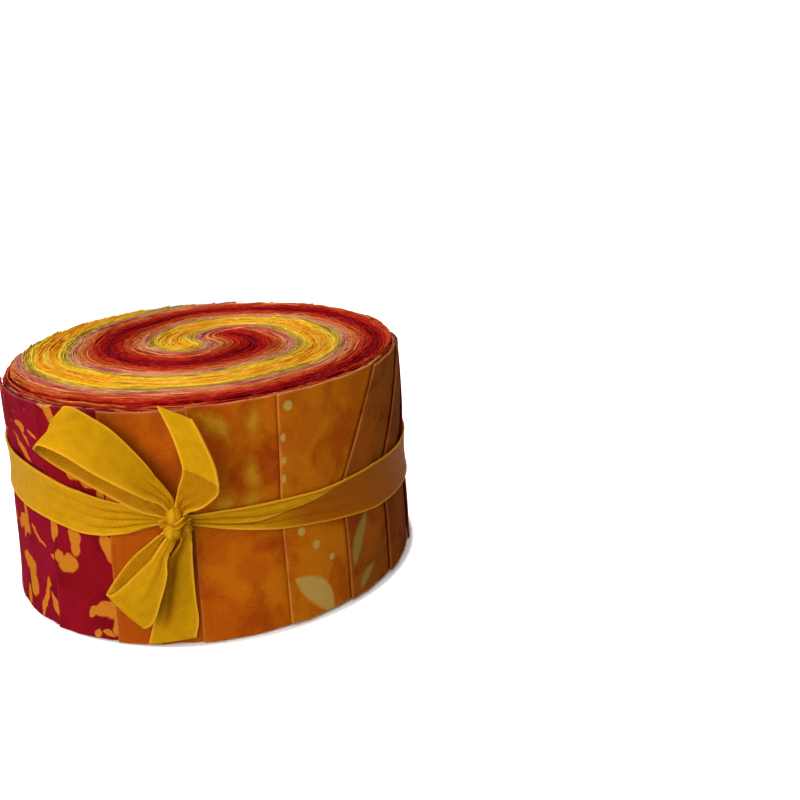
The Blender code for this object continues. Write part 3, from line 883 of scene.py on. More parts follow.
@dataclass(frozen=True)
class RollShape:
    """The sizes that the folded ends, the layers and the ribbon share."""

    strip_width: float = 63.5 * MM
    base_radius: float = 57.0 * MM
    rim_radius: float = 55.9 * MM
    fold_proud: float = 0.8 * MM
    waist_depth: float = 0.9 * MM
    waist_spread: float = 8.0 * MM
    left_flat: float = 2.0 * MM
    left_bulge: float = 0.4 * MM
    left_angle: float = -90.0
    left_spread: float = 30.0
    foot_flare: float = 1.7 * MM
    flare_angle: float = -46.0
    flare_spread: float = 32.0
    flare_height: float = 10.0 * MM
    lean_power: float = 1.2
    band_height: float = 34.4 * MM
    band_slope: float = -0.095
    band_sag: float = 1.6 * MM
    sag_angle: float = -23.0
    sag_spread: float = 14.0

    def band_middle(self, angle: Values) -> Values:
        """Height of the ribbon's middle line: a sloping plane, less a bell-shaped sag by the knot.

        Args:
            angle: Angles from the front, in degrees.

        Returns:
            The heights.
        """
        slope = self.band_slope * self.base_radius * np.sin(np.radians(angle))
        sag = self.band_sag * bell(off_angle(angle, self.sag_angle), self.sag_spread)
        return self.band_height + slope - sag

    def wall_radius(self, angle: Values, height: Values) -> Values:
        """Radius of the wound strips: a cone, waisted under the ribbon, leaning and flared at the left.

        Args:
            angle: Angles from the front, in degrees.
            height: Heights over the table.

        Returns:
            The radii.
        """
        rise = height / self.strip_width
        radius = self.base_radius + (self.rim_radius - self.base_radius) * rise
        waist = self.waist_depth * bell(height - self.band_middle(angle), self.waist_spread)
        left = bell(off_angle(angle, self.left_angle), self.left_spread)
        flare = self.foot_flare * bell(off_angle(angle, self.flare_angle), self.flare_spread)
        radius = radius - waist + left * (self.left_bulge - (self.left_bulge + self.left_flat) * rise)
        return radius + flare * np.exp(-height / self.flare_height)

    def fold_angle(self, end: StripEnd, height: Values) -> Values:
        """Angle of a strip end's left fold: upright, then leaning by a power of the height.

        Args:
            end: The strip end.
            height: Heights over the table.

        Returns:
            The fold's angles from the front, in degrees.
        """
        start = end.lean_from * MM
        lean = np.maximum(0.0, (height - start) / (self.strip_width - start)) ** self.lean_power
        return end.edge + end.lean * lean


@dataclass
class FrayedThreads:
    """Broken threads that stand out of the cut edges, most of them short."""

    thickness: float = 0.16 * MM
    # How far a thread curls aside and arches up, as shares of its length, and how many radians of a
    # sine it goes through
    curl: float = 0.16
    curl_turns: tuple[float, float] = (2.0, 5.5)
    arch: tuple[float, float] = (0.02, 0.14)
    arch_turn: float = 2.6
    # A loose thread is paler than its cloth, by these shares of red, green, blue and alpha
    paler: tuple[float, float, float, float] = (1.25, 1.3, 1.3, 1.0)
    steps: int = 8
    seed: int = 23
    caught: list = field(default_factory=list)

    def catch(self, starts: Array, ways: Array, dye: Array, lengths: Array) -> None:
        """Take note of threads that start at some points.

        Args:
            starts: Where they leave the cloth, one row each.
            ways: Which way they run, one row each.
            dye: Their linear colour.
            lengths: How long each is, in metres.
        """
        self.caught.append((starts, ways, np.broadcast_to(dye, (len(starts), 4)), lengths[:, None]))

    def build(self, material: Material) -> Piece:
        """Make all the threads: straight on, with a sideways sine for the curl and an arch upwards.

        Args:
            material: The cut edges' finish.

        Returns:
            The piece.
        """
        draw = np.random.default_rng(self.seed)
        starts, ways, dyes, lengths = (np.vstack(rows) for rows in zip(*self.caught))
        start, way, length = starts[:, None], unit(ways)[:, None], lengths[:, None]
        aside = np.cross(way, UP)
        along = np.linspace(0.0, 1.0, self.steps)[None, :, None]
        size, turns = draw.normal(0.0, self.curl, length.shape), draw.uniform(*self.curl_turns, length.shape)
        curl = size * np.sin(along * turns)
        arch = draw.uniform(*self.arch, length.shape) * np.sin(along * self.arch_turn)
        paths = start + (way * along + aside * curl + UP * arch) * length
        dyes = np.clip(dyes * self.paler, 0.0, 1.0)
        cloth = Cloth("frayed_threads")
        numbers = np.linspace(0.0, 1.0, len(dyes))
        cloth.add_threads(paths, self.thickness / 2, dye=dyes, second_dye=dyes, strip=numbers)
        return settle(cloth.make(material, smooth_under=100.0), COTTON_SLOT)


class Strip(NamedTuple):
    """A group of strips in the stack: where it ends, from 0 at the red side to 1 at the orange
    side, its cloths' two dyes, and how far it stands over the others in mm."""

    until: float
    dye: str
    second_dye: str
    stands: float = 0.0


STACK_ORDER = (
    Strip(0.04, "#800810", "#940e16"),
    Strip(0.08, "#940e14", "#7c0810", 0.15),
    Strip(0.12, "#b01612", "#941210"),
    Strip(0.16, "#b41a10", "#9a0e0e", 0.12),
    Strip(0.20, "#a41410", "#bc3418", -0.1),
    Strip(0.24, "#b83014", "#a01a10", 0.15),
    Strip(0.29, "#a82210", "#c45228"),
    Strip(0.34, "#c45024", "#ae3014", 0.1),
    Strip(0.39, "#c04a20", "#d88850", -0.15),
    Strip(0.44, "#d07438", "#b84822", 0.1),
    Strip(0.49, "#c86232", "#dc9460"),
    Strip(0.54, "#d48a56", "#c05c38", -0.1),
    Strip(0.58, "#cc8c70", "#bc5858", 0.15),
    Strip(0.61, "#d49a78", "#bc6c6c", 0.1),
    Strip(0.64, "#d09850", "#c47c3c"),
    Strip(0.67, "#d0a450", "#c0903c", 0.15),
    Strip(0.70, "#c0a044", "#a48c3c", -0.1),
    Strip(0.72, "#c0a440", "#887c2c", 0.1),
    Strip(0.76, "#d0ac36", "#b09630", 0.1),
    Strip(0.80, "#e4bc34", "#d8a822", 0.15),
    Strip(0.84, "#deb01a", "#ead050"),
    Strip(0.885, "#e4a416", "#dcb02c", 0.1),
    Strip(0.92, "#dc8c12", "#e09c1a", -0.15),
    Strip(0.955, "#e49c16", "#d88012", 0.1),
    Strip(1.00, "#ecc444", "#dea018"),
)
# The wraps that go round outside the spiral, from the inside out, a step lower each time
RIM_WRAPS = (
    Strip(0.2, "#ac2410", "#9c1a10"),
    Strip(0.4, "#961010", "#c06830"),
    Strip(0.6, "#a41c10", "#8a0c14"),
    Strip(0.8, "#b85a38", "#960c0e"),
    Strip(1.0, "#901010", "#c8b080"),
)


@dataclass
class WoundLayers:
    """The strips on edge, wound from the middle of their stack in two arms."""

    # Where the layers are pushed out or in: angle, spread in degrees, shift in mm
    TIGHT_SIDES = ((80.0, 40.0, 6.4), (-30.0, 32.0, -2.6))
    # The uneven winding: the strength of its crossed waves and of its slanted one in mm, where the
    # crossed ones start in radians, and their lengths over two pi in mm, across, up and slanted
    RIPPLE, RIPPLE_STARTS = (0.55, 0.35), (1.3, 0.4, 2.0)
    RIPPLE_ASIDE, RIPPLE_ALONG = (9.0, 13.0, 6.5), (12.0, 8.0, 7.0)
    # The waves of a layer's top edge: height and usual length in mm
    EDGE_WAVES = ((0.24, 34.0), (0.15, 11.0), (0.06, 4.5))
    # The shortest and longest frayed thread in mm, before a power that draws out the longer ones
    FRAY_LENGTHS, FRAY_POWER = (1.2, 4.0), 1.2
    # The pieces that the layers come in, in equal shares from the red side
    PIECES = ("layers_red", "layers_salmon", "layers_olive", "layers_orange")

    roll: RollShape
    finish: CutEdges
    frays: FrayedThreads
    # How many layers the stack has and how thick it is, where the spiral's middle lies, and how
    # many degrees the line through its two cores is turned
    layers: int = 80
    stack: float = 17.5 * MM
    spiral_x: float = 1.0 * MM
    spiral_y: float = 2.7 * MM
    axis_turn: float = 45.0
    # A layer's thickness, the length of its steps, and how far inside the wall the spiral ends
    cloth: float = 0.17 * MM
    step: float = 1.3 * MM
    rim_gap: float = 2.4 * MM
    # How much a layer rises and leans at the rim, and the heights of its foot and its top
    rim_rise: float = 0.35 * MM
    rim_lean: float = 0.4 * MM
    foot: float = 0.35 * MM
    crown: float = 63.3 * MM
    # How far out each wrap lies from the one before, and how much lower
    wrap_gap: float = 0.26 * MM
    wrap_step: float = 0.32 * MM
    frays_each: int = 3
    seed: int = 11
    # The circles, by radius in mm, where the push is greatest and where it ends, how near to the
    # middle and the end it is still reckoned, and how sharp its tent is
    tight_middle: float = 36.0
    tight_end: float = 55.5
    tight_margin: float = 0.1
    tent_power: float = 4.0
    # The radius in mm at which the ripple has died out, and how steeply it does
    ripple_end: float = 54.0
    ripple_fade: float = 4.0
    # How unlike layers are in height, in mm
    layer_spread: float = 0.09
    # The wave over the disc: its height in mm, its lengths over two pi, and its start in radians
    disc_wave: float = 0.25
    disc_across: float = 15.0 * MM
    disc_up: float = 19.0 * MM
    disc_start: float = 0.6
    # How far a layer's top wavers sideways, and its usual length, in mm
    waver: float = 0.06
    waver_long: float = 14.0
    # How far in from the rim the layers still rise and lean, how fast their waist and lean fade
    # there, and where up a layer it starts to lean
    rim_reach: float = 3.0 * MM
    waist_fade: float = 0.5
    lean_fade: float = 1.5
    below_crown: float = 0.9 * MM
    below_lean: float = 0.3
    # How much of the wall's widening at its foot the layers share
    foot_share: float = 0.8
    # How unlike layers of one dye are, and the most that one may differ
    dye_spread: float = 0.10
    dye_most: float = 0.2
    # The wraps' numbers, for the spread of their dyes, start after the layers'
    wrap_number: float = 1.1
    # A wrap's ends, in degrees from the front, and its points
    wrap_end: float = 178.0
    wrap_points: int = 270
    # How far a frayed thread turns off its layer, and how much it rises
    fray_turn: float = 0.5
    fray_rise: float = 0.06

    def half_turn(self, radius: float, upper: bool) -> Array:
        """Points of one half turn of an arm, a half circle about one of the two cores.

        Args:
            radius: The half circle's radius.
            upper: Whether it goes about the upper core.

        Returns:
            The points, two columns.
        """
        centre = self.stack / 2 if upper else -self.stack / 2
        steps = max(8, round(math.pi * radius / self.step))
        turns = (math.pi if upper else 0.0) - np.linspace(0.0, math.pi, steps + 1)
        return np.column_stack([centre + radius * np.cos(turns), radius * np.sin(turns)])

    def arm(self, first_radius: float, upper: bool) -> Array:
        """A layer's line from its core out to the rim, half circles that grow by the stack each time.

        Args:
            first_radius: The radius of the first half circle.
            upper: Whether that one goes about the upper core.

        Returns:
            The points, two columns.
        """
        pieces = []
        radius = first_radius
        while radius < self.roll.base_radius + self.stack:
            pieces.append(self.half_turn(radius, upper))
            radius += self.stack
            upper = not upper
        path = np.vstack([pieces[0]] + [piece[1:] for piece in pieces[1:]])
        turn = math.radians(self.axis_turn)
        to_roll = np.array([[math.cos(turn), math.sin(turn)], [-math.sin(turn), math.cos(turn)]])
        path = path @ to_roll + np.array([self.spiral_x, self.spiral_y])
        outside = np.nonzero(self.inside_rim(path) < 0.0)[0]
        return path[: outside[0]] if len(outside) else path

    def inside_rim(self, line: Array) -> Array:
        """How far points on the table lie inside the outermost line that a layer may take.

        Args:
            line: The points.

        Returns:
            The distances, less than nothing for points outside.
        """
        limit = self.roll.wall_radius(angle_of(line), self.roll.strip_width) - self.rim_gap
        return limit - np.hypot(line[:, 0], line[:, 1])

    def layer_line(self, share: float) -> Array:
        """A layer's whole line, in along one arm and out along the other.

        Args:
            share: The layer's place in the stack, from -0.5 to 0.5.

        Returns:
            The points, two columns.
        """
        inwards = self.arm(self.stack * (0.5 + share), False)[::-1]
        outwards = self.arm(self.stack * (0.5 - share), True)
        return np.vstack([inwards, outwards[1:]])

    def ripple(self, line: Array) -> Array:
        """Shift the lines together by slow waves over the disc, as a hand-wound roll is uneven.

        The shift each way is a product of two sines across the disc and a weaker slanted sine.

        Args:
            line: A layer's points.

        Returns:
            The shifted points.
        """
        x, y = line[:, 0] / MM, line[:, 1] / MM
        main, slanted = self.RIPPLE
        first, second, third = self.RIPPLE_STARTS
        across, up, slant = self.RIPPLE_ASIDE
        aside = main * np.sin(x / across + first) * np.cos(y / up) + slanted * np.sin((x + y) / slant)
        across, up, slant = self.RIPPLE_ALONG
        along = main * np.cos(y / up + second) * np.sin(x / across + third)
        along = along + slanted * np.cos((x - y) / slant)
        still = np.clip((1.0 - np.hypot(x, y) / self.ripple_end) * self.ripple_fade, 0.0, 1.0)
        return self.tighten(line) + np.column_stack([aside, along]) * still[:, None] * MM

    def tighten(self, line: Array) -> Array:
        """Push the line out on one side and in on another, by a rounded tent over the radius.

        Args:
            line: A layer's points.

        Returns:
            The pushed points.
        """
        radius = np.hypot(line[:, 0], line[:, 1]) / MM
        radius = np.clip(radius, self.tight_margin, self.tight_end - self.tight_margin)
        inner = self.tight_middle / radius
        outer = (self.tight_end - self.tight_middle) / (self.tight_end - radius)
        tent = (inner ** self.tent_power + outer ** self.tent_power) ** (-1.0 / self.tent_power)
        push = sum(shift * bell(off_angle(angle_of(line), middle), spread)
                   for middle, spread, shift in self.TIGHT_SIDES)
        return line * (1.0 + push * tent / radius)[:, None]

    def build(self) -> list[Piece]:
        """Make the layers, in pieces of neighbouring strips so that none has too many faces.

        Returns:
            The pieces, the frayed threads last.
        """
        draw = np.random.default_rng(self.seed)
        material = self.finish.make()
        pieces = []
        each = self.layers // len(self.PIECES)
        for number, name in enumerate(self.PIECES):
            cloth = Cloth(name)
            length = 0.0
            for layer in range(number * each, (number + 1) * each):
                from_red = (layer + 0.5) / self.layers
                strip = next(group for group in STACK_ORDER if from_red <= group.until)
                line = self.ripple(self.layer_line(0.5 - from_red))
                length += self.add_layer(cloth, line, strip, from_red, self.crown, draw)
            pieces.append(self.lay(cloth, material))
        cloth = Cloth("rim_wraps")
        length = 0.0
        for number, strip in enumerate(RIM_WRAPS):
            line = self.wrap_line(self.rim_gap - (number + 1) * self.wrap_gap)
            drop = (number + 1) * self.wrap_step
            length += self.add_layer(cloth, line, strip, self.wrap_number + strip.until,
                                     self.crown - drop, draw)
        pieces.append(self.lay(cloth, material))
        pieces.append(self.frays.build(material))
        return pieces

    def lay(self, cloth: Cloth, material: Material) -> Piece:
        """Make a piece of layers.

        Args:
            cloth: The layers.
            material: The cut edges' finish.

        Returns:
            The piece.
        """
        piece = cloth.make(material, smooth_under=40.0)
        settle(piece, COTTON_SLOT, "strip_roll")
        return piece

    def wrap_line(self, inside: float) -> Array:
        """The line of a wrap that goes almost all round, some way inside the wall's own outline.

        Args:
            inside: How far inside it lies.

        Returns:
            The points, two columns.
        """
        angle = np.linspace(-self.wrap_end, self.wrap_end, self.wrap_points)
        radius = self.roll.wall_radius(angle, self.roll.strip_width) - inside
        return round_the_roll(angle, radius, 0.0)[:, :2]

    def add_layer(self, cloth: Cloth, line: Array, strip: Strip, number: float, crown: float,
                  draw: Generator) -> float:
        """Stand one layer of cloth on its line, its top edge uneven and a few threads loose.

        The edge's height is the roll's, plus what its strip stands over the others, slow and quick
        waves along it, a wave over the whole disc, and a rise to the rim, where it leans outwards.

        Args:
            cloth: The piece that it joins.
            line: Where it stands on the table.
            strip: Its cloth.
            number: A number of its own for the spread of its dye.
            crown: The height of its top edge.
            draw: The seeded source of unevenness.

        Returns:
            The layer's length.
        """
        along = run_length(line)
        ahead = unit(np.gradient(line, axis=0))
        aside = np.column_stack([-ahead[:, 1], ahead[:, 0]])
        waves = sum(high * wander(along, long * MM, draw) for high, long in self.EDGE_WAVES)
        waves = waves + draw.normal(0.0, self.layer_spread) + strip.stands
        slow = np.sin(line[:, 0] / self.disc_across + self.disc_start) * np.cos(line[:, 1] / self.disc_up)
        slow = self.disc_wave * slow
        near_rim = np.exp(-np.maximum(self.inside_rim(line), 0.0) / self.rim_reach)
        crown = crown + (waves + slow) * MM + self.rim_rise * near_rim
        angle = angle_of(line)
        out = unit(line)
        at_foot, at_rim = (self.roll.wall_radius(angle, level) for level in (0.0, self.roll.strip_width))
        foot_scale = (1.0 + self.foot_share * (at_foot / at_rim - 1.0))[:, None]
        lean = wander(along, self.waver_long * MM, draw) * self.waver * MM
        drawn_in = out * (self.roll.waist_depth * near_rim ** self.waist_fade)[:, None]
        leaning = out * (self.rim_lean * near_rim ** self.lean_fade)[:, None] + aside * lean[:, None]
        rows = [line * foot_scale, line * (1.0 + foot_scale) / 2 - drawn_in,
                line + leaning * self.below_lean, line + leaning]
        waist = self.roll.band_middle(angle)
        levels = np.stack([np.full(len(line), self.foot), waist, crown - self.below_crown, crown], axis=1)
        grid = np.concatenate([np.stack(rows, axis=1), levels[..., None]], axis=2)
        uv = laid_flat(along, levels - crown[:, None])
        tone = 1.0 + np.clip(draw.normal(0.0, self.dye_spread), -self.dye_most, self.dye_most)
        dye, second = (np.clip(np.array(linear(one)) * [tone, tone, tone, 1.0], 0.0, 1.0)
                       for one in (strip.dye, strip.second_dye))
        cloth.add(grid, uv, self.cloth, strip=number, dye=dye, second_dye=second)
        picks = draw.integers(2, len(line) - 2, self.frays_each)
        column = (self.frays_each, 1)
        turned = ahead[picks] + aside[picks] * draw.normal(0.0, self.fray_turn, column)
        turned = turned * draw.choice([-1.0, 1.0], column)
        way = np.column_stack([turned, np.full(self.frays_each, self.fray_rise)])
        self.frays.catch(np.column_stack([line[picks], crown[picks]]), way, dye,
                         draw.uniform(*self.FRAY_LENGTHS, self.frays_each) ** self.FRAY_POWER * MM)
        return float(along[-1])


@dataclass
class FoldedEnds:
    """The strips' folded ends, which overlap like shingles down the outside."""

    # The doubled strip's places across: close together by its own fold, and again by the next one
    BY_FOLD = (0.0, 0.012, 0.03, 0.06)
    BY_NEXT = (0.94, 0.96, 0.975, 0.988, 1.0, 1.02, 1.06, 1.12)
    # The first and last even place between those, and how many there are
    BETWEEN = (0.1, 0.9, 15)
    # Places up the end: even ones to the first of these, which lie close under its cut top
    UNDER_TOP = (0.985, 0.990, 0.9945, 0.9975, 1.0)
    # The waver of the cut foot and top: height and usual length in mm
    FOOT_WAVE, TOP_WAVE = (0.12, 9.0), (0.14, 12.0)
    # The shortest and longest frayed thread in mm
    FRAY_LENGTHS = (0.6, 2.2)

    roll: RollShape
    frays: FrayedThreads
    # The cloth's thickness, its fold's radius and steps, how deep the face dips by the next fold,
    # and how far it goes on under it, as a share of its own width
    cloth: float = 0.26 * MM
    fold_half: float = 0.2 * MM
    fold_steps: int = 7
    dip: float = 0.18 * MM
    tuck: float = 0.20
    rows: int = 44
    frays_each: int = 8
    seed: int = 5
    usual_width: float = 22.0 * MM
    slope_power: float = 1.3
    # Where the face dips before the next fold, over what share of its width, and how it sinks beyond
    dip_from: float = 0.94
    dip_over: float = 0.05
    sink: float = 1.6 * MM
    # The loose cloth's swell: its depth, and its usual length up and across the end
    swell: float = 0.22 * MM
    swell_up: float = 30.0 * MM
    swell_across: float = 14.0 * MM
    swell_margin: float = 0.2
    swell_slants: tuple[float, float] = (0.4, 0.2)
    # Half widths of the pale lines along the fold, partly worn cloth and partly a painted highlight, and
    # along the cut top, and how far round the fold the first one reaches
    fold_line: float = 0.20 * MM
    cut_line: float = 0.22 * MM
    fold_reach: float = 0.6
    # Where the painted shade in the crack by the next fold starts, and over what share of the width it comes
    crack_shade_from: float = 0.972
    crack_shade_over: float = 0.02
    # The face's columns past the fold, how many of them threads may leave, and their way up and out
    face_columns: int = 24
    fray_columns: int = 20
    fray_up: float = 0.5
    fray_out: float = 0.25

    def section(self) -> tuple[Array, Array, Array]:
        """The doubled strip's line across: in under the end, round its fold and out over it.

        Returns:
            For each column, the share of the end's visible width, how far it bulges left of the
            fold and the depth under its face, both in metres.
        """
        over = np.concatenate([self.BY_FOLD, np.linspace(*self.BETWEEN), self.BY_NEXT, [1.0 + self.tuck]])
        turn = np.linspace(-np.pi / 2, np.pi / 2, self.fold_steps)[1:-1]
        share = np.concatenate([over[::-1], np.zeros(len(turn)), over])
        reach = np.concatenate([np.zeros(len(over)), -np.cos(turn), np.zeros(len(over))])
        middle = self.cloth / 2 + self.fold_half
        depth = np.concatenate([np.full(len(over), middle + self.fold_half),
                                middle - self.fold_half * np.sin(turn), np.full(len(over), self.cloth / 2)])
        return share, reach * self.fold_half, depth

    def build_end(self, end: StripEnd, after: StripEnd, material: Material, draw: Generator) -> Piece:
        """Make one folded end, from its foot to its top and on under the next one's fold.

        Its face slopes from its own fold, which stands proud, to the next fold, where it dips.

        Args:
            end: The strip end.
            after: The one that overlaps its right side.
            material: Its cloth.
            draw: The seeded source of unevenness.

        Returns:
            The piece.
        """
        share, reach, depth = self.section()
        wide = share[None, :]
        foot, top = (level + high * MM * wander(share * self.usual_width, long * MM, draw)
                     for level, (high, long) in ((end.lift * MM, self.FOOT_WAVE),
                                                 (self.roll.strip_width - end.drop * MM, self.TOP_WAVE)))
        even = np.linspace(0.0, self.UNDER_TOP[0], self.rows - len(self.UNDER_TOP) + 1)
        rise = np.concatenate([even, self.UNDER_TOP[1:]])
        height = foot + (top - foot) * rise[:, None]
        left = self.roll.fold_angle(end, height)
        visible = self.roll.fold_angle(after, height) - left
        proud = self.roll.fold_proud * np.maximum(0.0, 1.0 - wide) ** self.slope_power
        proud = proud - self.dip * ease((wide - self.dip_from) / self.dip_over)
        proud = proud - self.sink * np.maximum(0.0, wide - 1.0)
        metres = np.radians(visible * wide) * self.roll.base_radius
        up, across = self.swell_slants
        sway = (wander(height + up * metres, self.swell_up, draw)
                * wander(metres + across * height, self.swell_across, draw))
        sway = self.swell * sway * ease(wide / self.swell_margin) * ease((1.0 - wide) / self.swell_margin)
        radius = self.roll.wall_radius(left + visible * wide, height) + proud - depth[None, :] + sway
        angle = left + visible * wide + np.degrees(reach[None, :] / self.roll.base_radius)
        grid = round_the_roll(angle, radius, height)
        uv = np.stack([metres + reach[None, :], height - end.lift * MM], axis=2) / MM
        # Pale fold line, partly worn cloth and partly a painted highlight; paler cut top; painted shade in
        # the crack by the next fold
        parts = {
            "fold": bell(metres + self.fold_reach * reach[None, :], self.fold_line),
            "cut": bell(top[None, :] - height, self.cut_line),
            "under": ease((wide - self.crack_shade_from) / self.crack_shade_over) * (depth < self.cloth)[None, :],
        }
        cloth = Cloth("strip_end_" + end.name)
        cloth.add(grid.transpose(1, 0, 2)[::-1], uv.transpose(1, 0, 2)[::-1], self.cloth,
                  **{name: np.ascontiguousarray(value.T[::-1]) for name, value in parts.items()})
        piece = cloth.make(material)
        settle(piece, COTTON_SLOT)
        2 * float(np.mean(metres[:, -1]))
        self.fray(end, grid, draw)
        return piece

    def fray(self, end: StripEnd, grid: Array, draw: Generator) -> None:
        """Let a few threads stand out of an end's cut top and foot, along the cloth's outer face.

        Args:
            end: The strip end.
            grid: Its middle points.
            draw: The seeded source of unevenness.
        """
        outside = len(grid[0]) - self.face_columns
        column = (self.frays_each, 1)
        for row, up in ((-1, 1.0), (0, 0.0)):
            picks = draw.integers(outside, outside + self.fray_columns, self.frays_each)
            starts = grid[row, picks]
            ways = unit(grid[row, picks + 1] - starts) * draw.choice([-1.0, 1.0], column)
            ways[:, 2] += up * draw.uniform(0.0, self.fray_up, self.frays_each)
            ways += self.fray_out * unit(starts * [1.0, 1.0, 0.0])
            self.frays.catch(starts, ways, np.array(linear(end.cotton.ground)),
                             draw.uniform(*self.FRAY_LENGTHS, self.frays_each) * MM)

    def build(self) -> list[Piece]:
        """Make every folded end, each over the right side of the one before.

        Returns:
            The pieces.
        """
        draw = np.random.default_rng(self.seed)
        materials = {}
        pieces = []
        following = STRIP_ENDS[1:] + (STRIP_ENDS[0]._replace(edge=STRIP_ENDS[0].edge + 360.0),)
        for end, after in zip(STRIP_ENDS, following):
            if end.cotton.name not in materials:
                materials[end.cotton.name] = end.cotton.make()
            pieces.append(self.build_end(end, after, materials[end.cotton.name], draw))
        return pieces


# The ribbon and its bow

RIBBON_WIDTH = 12.7 * MM
# How much thicker than its middle the ribbon is at its selvedges
SELVEDGE_THICK = 0.35


@dataclass
class RibbonBand:
    """The ribbon once round the roll, gathered where it reaches the knot."""

    # Angle from the front in degrees and the ribbon's height there in mm
    LEFT_WIDTHS = ((0.0, 2.2), (5.5, 2.8), (9.0, 4.8), (13.5, 7.4), (20.0, 9.6), (26.0, 11.2), (46.0, 12.7))
    RIGHT_WIDTHS = ((0.0, 2.2), (4.0, 2.8), (11.0, 4.9), (17.5, 6.5), (24.0, 7.8), (35.0, 8.9), (44.0, 10.4),
                    (56.0, 12.7))
    # The folded-over edge at the right: angle, and its share of the height from the ribbon's foot
    TURNED_EDGE = ((3.0, 0.30), (11.0, 0.30), (19.0, 0.36), (27.6, 0.60), (36.0, 0.80), (42.7, 0.95),
                   (46.0, 1.05))

    # The gathers: how deep they are in mm at the left and right, how far down they are set, how
    # early they are full, and how they weave about
    GATHER_LEFT, GATHER_RIGHT, GATHER_SET, GATHER_EARLY = 0.9, 0.7, 0.6, 1.5
    WEAVE_SIZE, WEAVE_TURN = 0.03, 4.0
    # The painted highlight along the turned edge's rim and the painted shadow by it: how far over the edge
    # each lies, as a share of the ribbon's height, and its half width
    EDGE_RIM, EDGE_SHADOW = (0.02, 0.3 * MM), (-0.05, 0.35 * MM)

    roll: RollShape
    cloth: float = 0.36 * MM
    stand_off: float = 1.3 * MM
    selvedge: float = 0.45 * MM
    columns: int = 61
    # Degrees to each side of the knot where the steps are close, and the steps there and beyond
    close_until: float = 60.0
    close_steps: int = 90
    far_steps: int = 100
    # How many pleats each side has, and at what share of one it starts
    left_pleats: tuple[float, float] = (4.0, 0.1)
    right_pleats: tuple[float, float] = (3.0, 0.3)
    # How soon the left side's gathers pass over to the right side's, in degrees
    middle_blend: float = 1.5
    # The turned edge: how far it stands up, how sharply, and the angles where it fades out
    turned_up: float = 0.5 * MM
    turned_sharp: float = 0.10 * MM
    turned_fade: tuple[float, float] = (46.0, 36.0)
    turned_least: float = 0.02
    # Painted shade over the band's right side, past the turned edge: where it starts, is whole and ends, and
    # how dark it is
    shade_start: tuple[float, float] = (16.0, 32.0)
    shade_whole: tuple[float, float] = (30.0, 54.0)
    shade_end: tuple[float, float] = (150.0, 120.0)
    shade_dark: float = 0.85
    # How dark the painted shade in the gathers' valleys and the painted shadow by the turned edge are, less
    # this share at the rims
    valley_shade: float = 1.6
    shadow_dark: float = 0.9
    rim_clear: float = 0.7
    # How much of the ribbon's width its gathers leave, taken over its whole length
    area_share: float = 0.9

    def height_at(self, angle: Array) -> Array:
        """The ribbon's height by angle, straight between the places in the two tables.

        Args:
            angle: Angles from the front, in degrees.

        Returns:
            The heights.
        """
        left, right = np.array(self.LEFT_WIDTHS), np.array(self.RIGHT_WIDTHS)
        signed = off_angle(angle, 0.0)
        return np.where(signed < 0, np.interp(-signed, left[:, 0], left[:, 1]),
                        np.interp(signed, right[:, 0], right[:, 1])) * MM

    def build(self, material: Material) -> Piece:
        """Make the band: a closed sheet round the roll, with gathers that converge on the knot.

        Args:
            material: The ribbon.

        Returns:
            The piece.
        """
        near = np.linspace(0.0, self.close_until, self.close_steps)
        far = np.linspace(self.close_until, 360.0 - self.close_until, self.far_steps)[1:-1]
        angle = np.concatenate([near, far, 360.0 - near[:0:-1]])
        signed = off_angle(angle, 0.0)[:, None]
        share = np.linspace(0.0, 1.0, self.columns)[None, :]
        height = self.height_at(angle)[:, None]
        level = self.roll.band_middle(angle)[:, None] + (share - 0.5) * height
        proud = self.roll.wall_radius(angle[:, None], level) + self.stand_off
        squeeze = 1.0 - np.clip(height / RIBBON_WIDTH, 0.0, 1.0)
        left_side = 1.0 / (1.0 + np.exp(signed / self.middle_blend))
        sag = self.WEAVE_SIZE * np.sin(signed / self.WEAVE_TURN)
        left = pleats(share + sag, *self.left_pleats)
        right = pleats(share - sag, *self.right_pleats)
        gathered = np.minimum(squeeze * self.GATHER_EARLY, 1.0)
        depth = self.GATHER_LEFT * left * left_side + self.GATHER_RIGHT * right * (1.0 - left_side)
        depth = gathered * depth
        proud = proud + (depth - self.GATHER_SET * gathered) * MM
        turned = np.array(self.TURNED_EDGE)
        edge_share = np.interp(signed, turned[:, 0], turned[:, 1])
        past_edge = share - edge_share
        over = 1.0 / (1.0 + np.exp(-past_edge * height / self.turned_sharp))
        fade = ramp(signed, *self.turned_fade) * (1.0 - left_side)
        proud = proud + over * fade * self.turned_up
        grid = round_the_roll(angle[:, None], proud, level)
        along = np.radians(np.concatenate([angle, [360.0]])) * self.roll.base_radius
        across = (share - 0.5) * RIBBON_WIDTH
        across = np.where((over > 0.5) & (fade > self.turned_least), -across, across)
        across = np.vstack([across, across[:1]])
        uv = laid_flat(along, across)
        rim_edge = bell(np.minimum(share, 1.0 - share) * height, self.selvedge)
        # Painted highlight along the turned edge's rim, and painted shadow beside it
        rim_highlight, shaded = (bell((past_edge - off) * height, wide) * fade
                          for off, wide in (self.EDGE_RIM, self.EDGE_SHADOW))
        # Painted shade in the gathers' valleys
        valley = (1.0 - left) ** 2 * left_side + (1.0 - right) ** 2 * (1.0 - left_side)
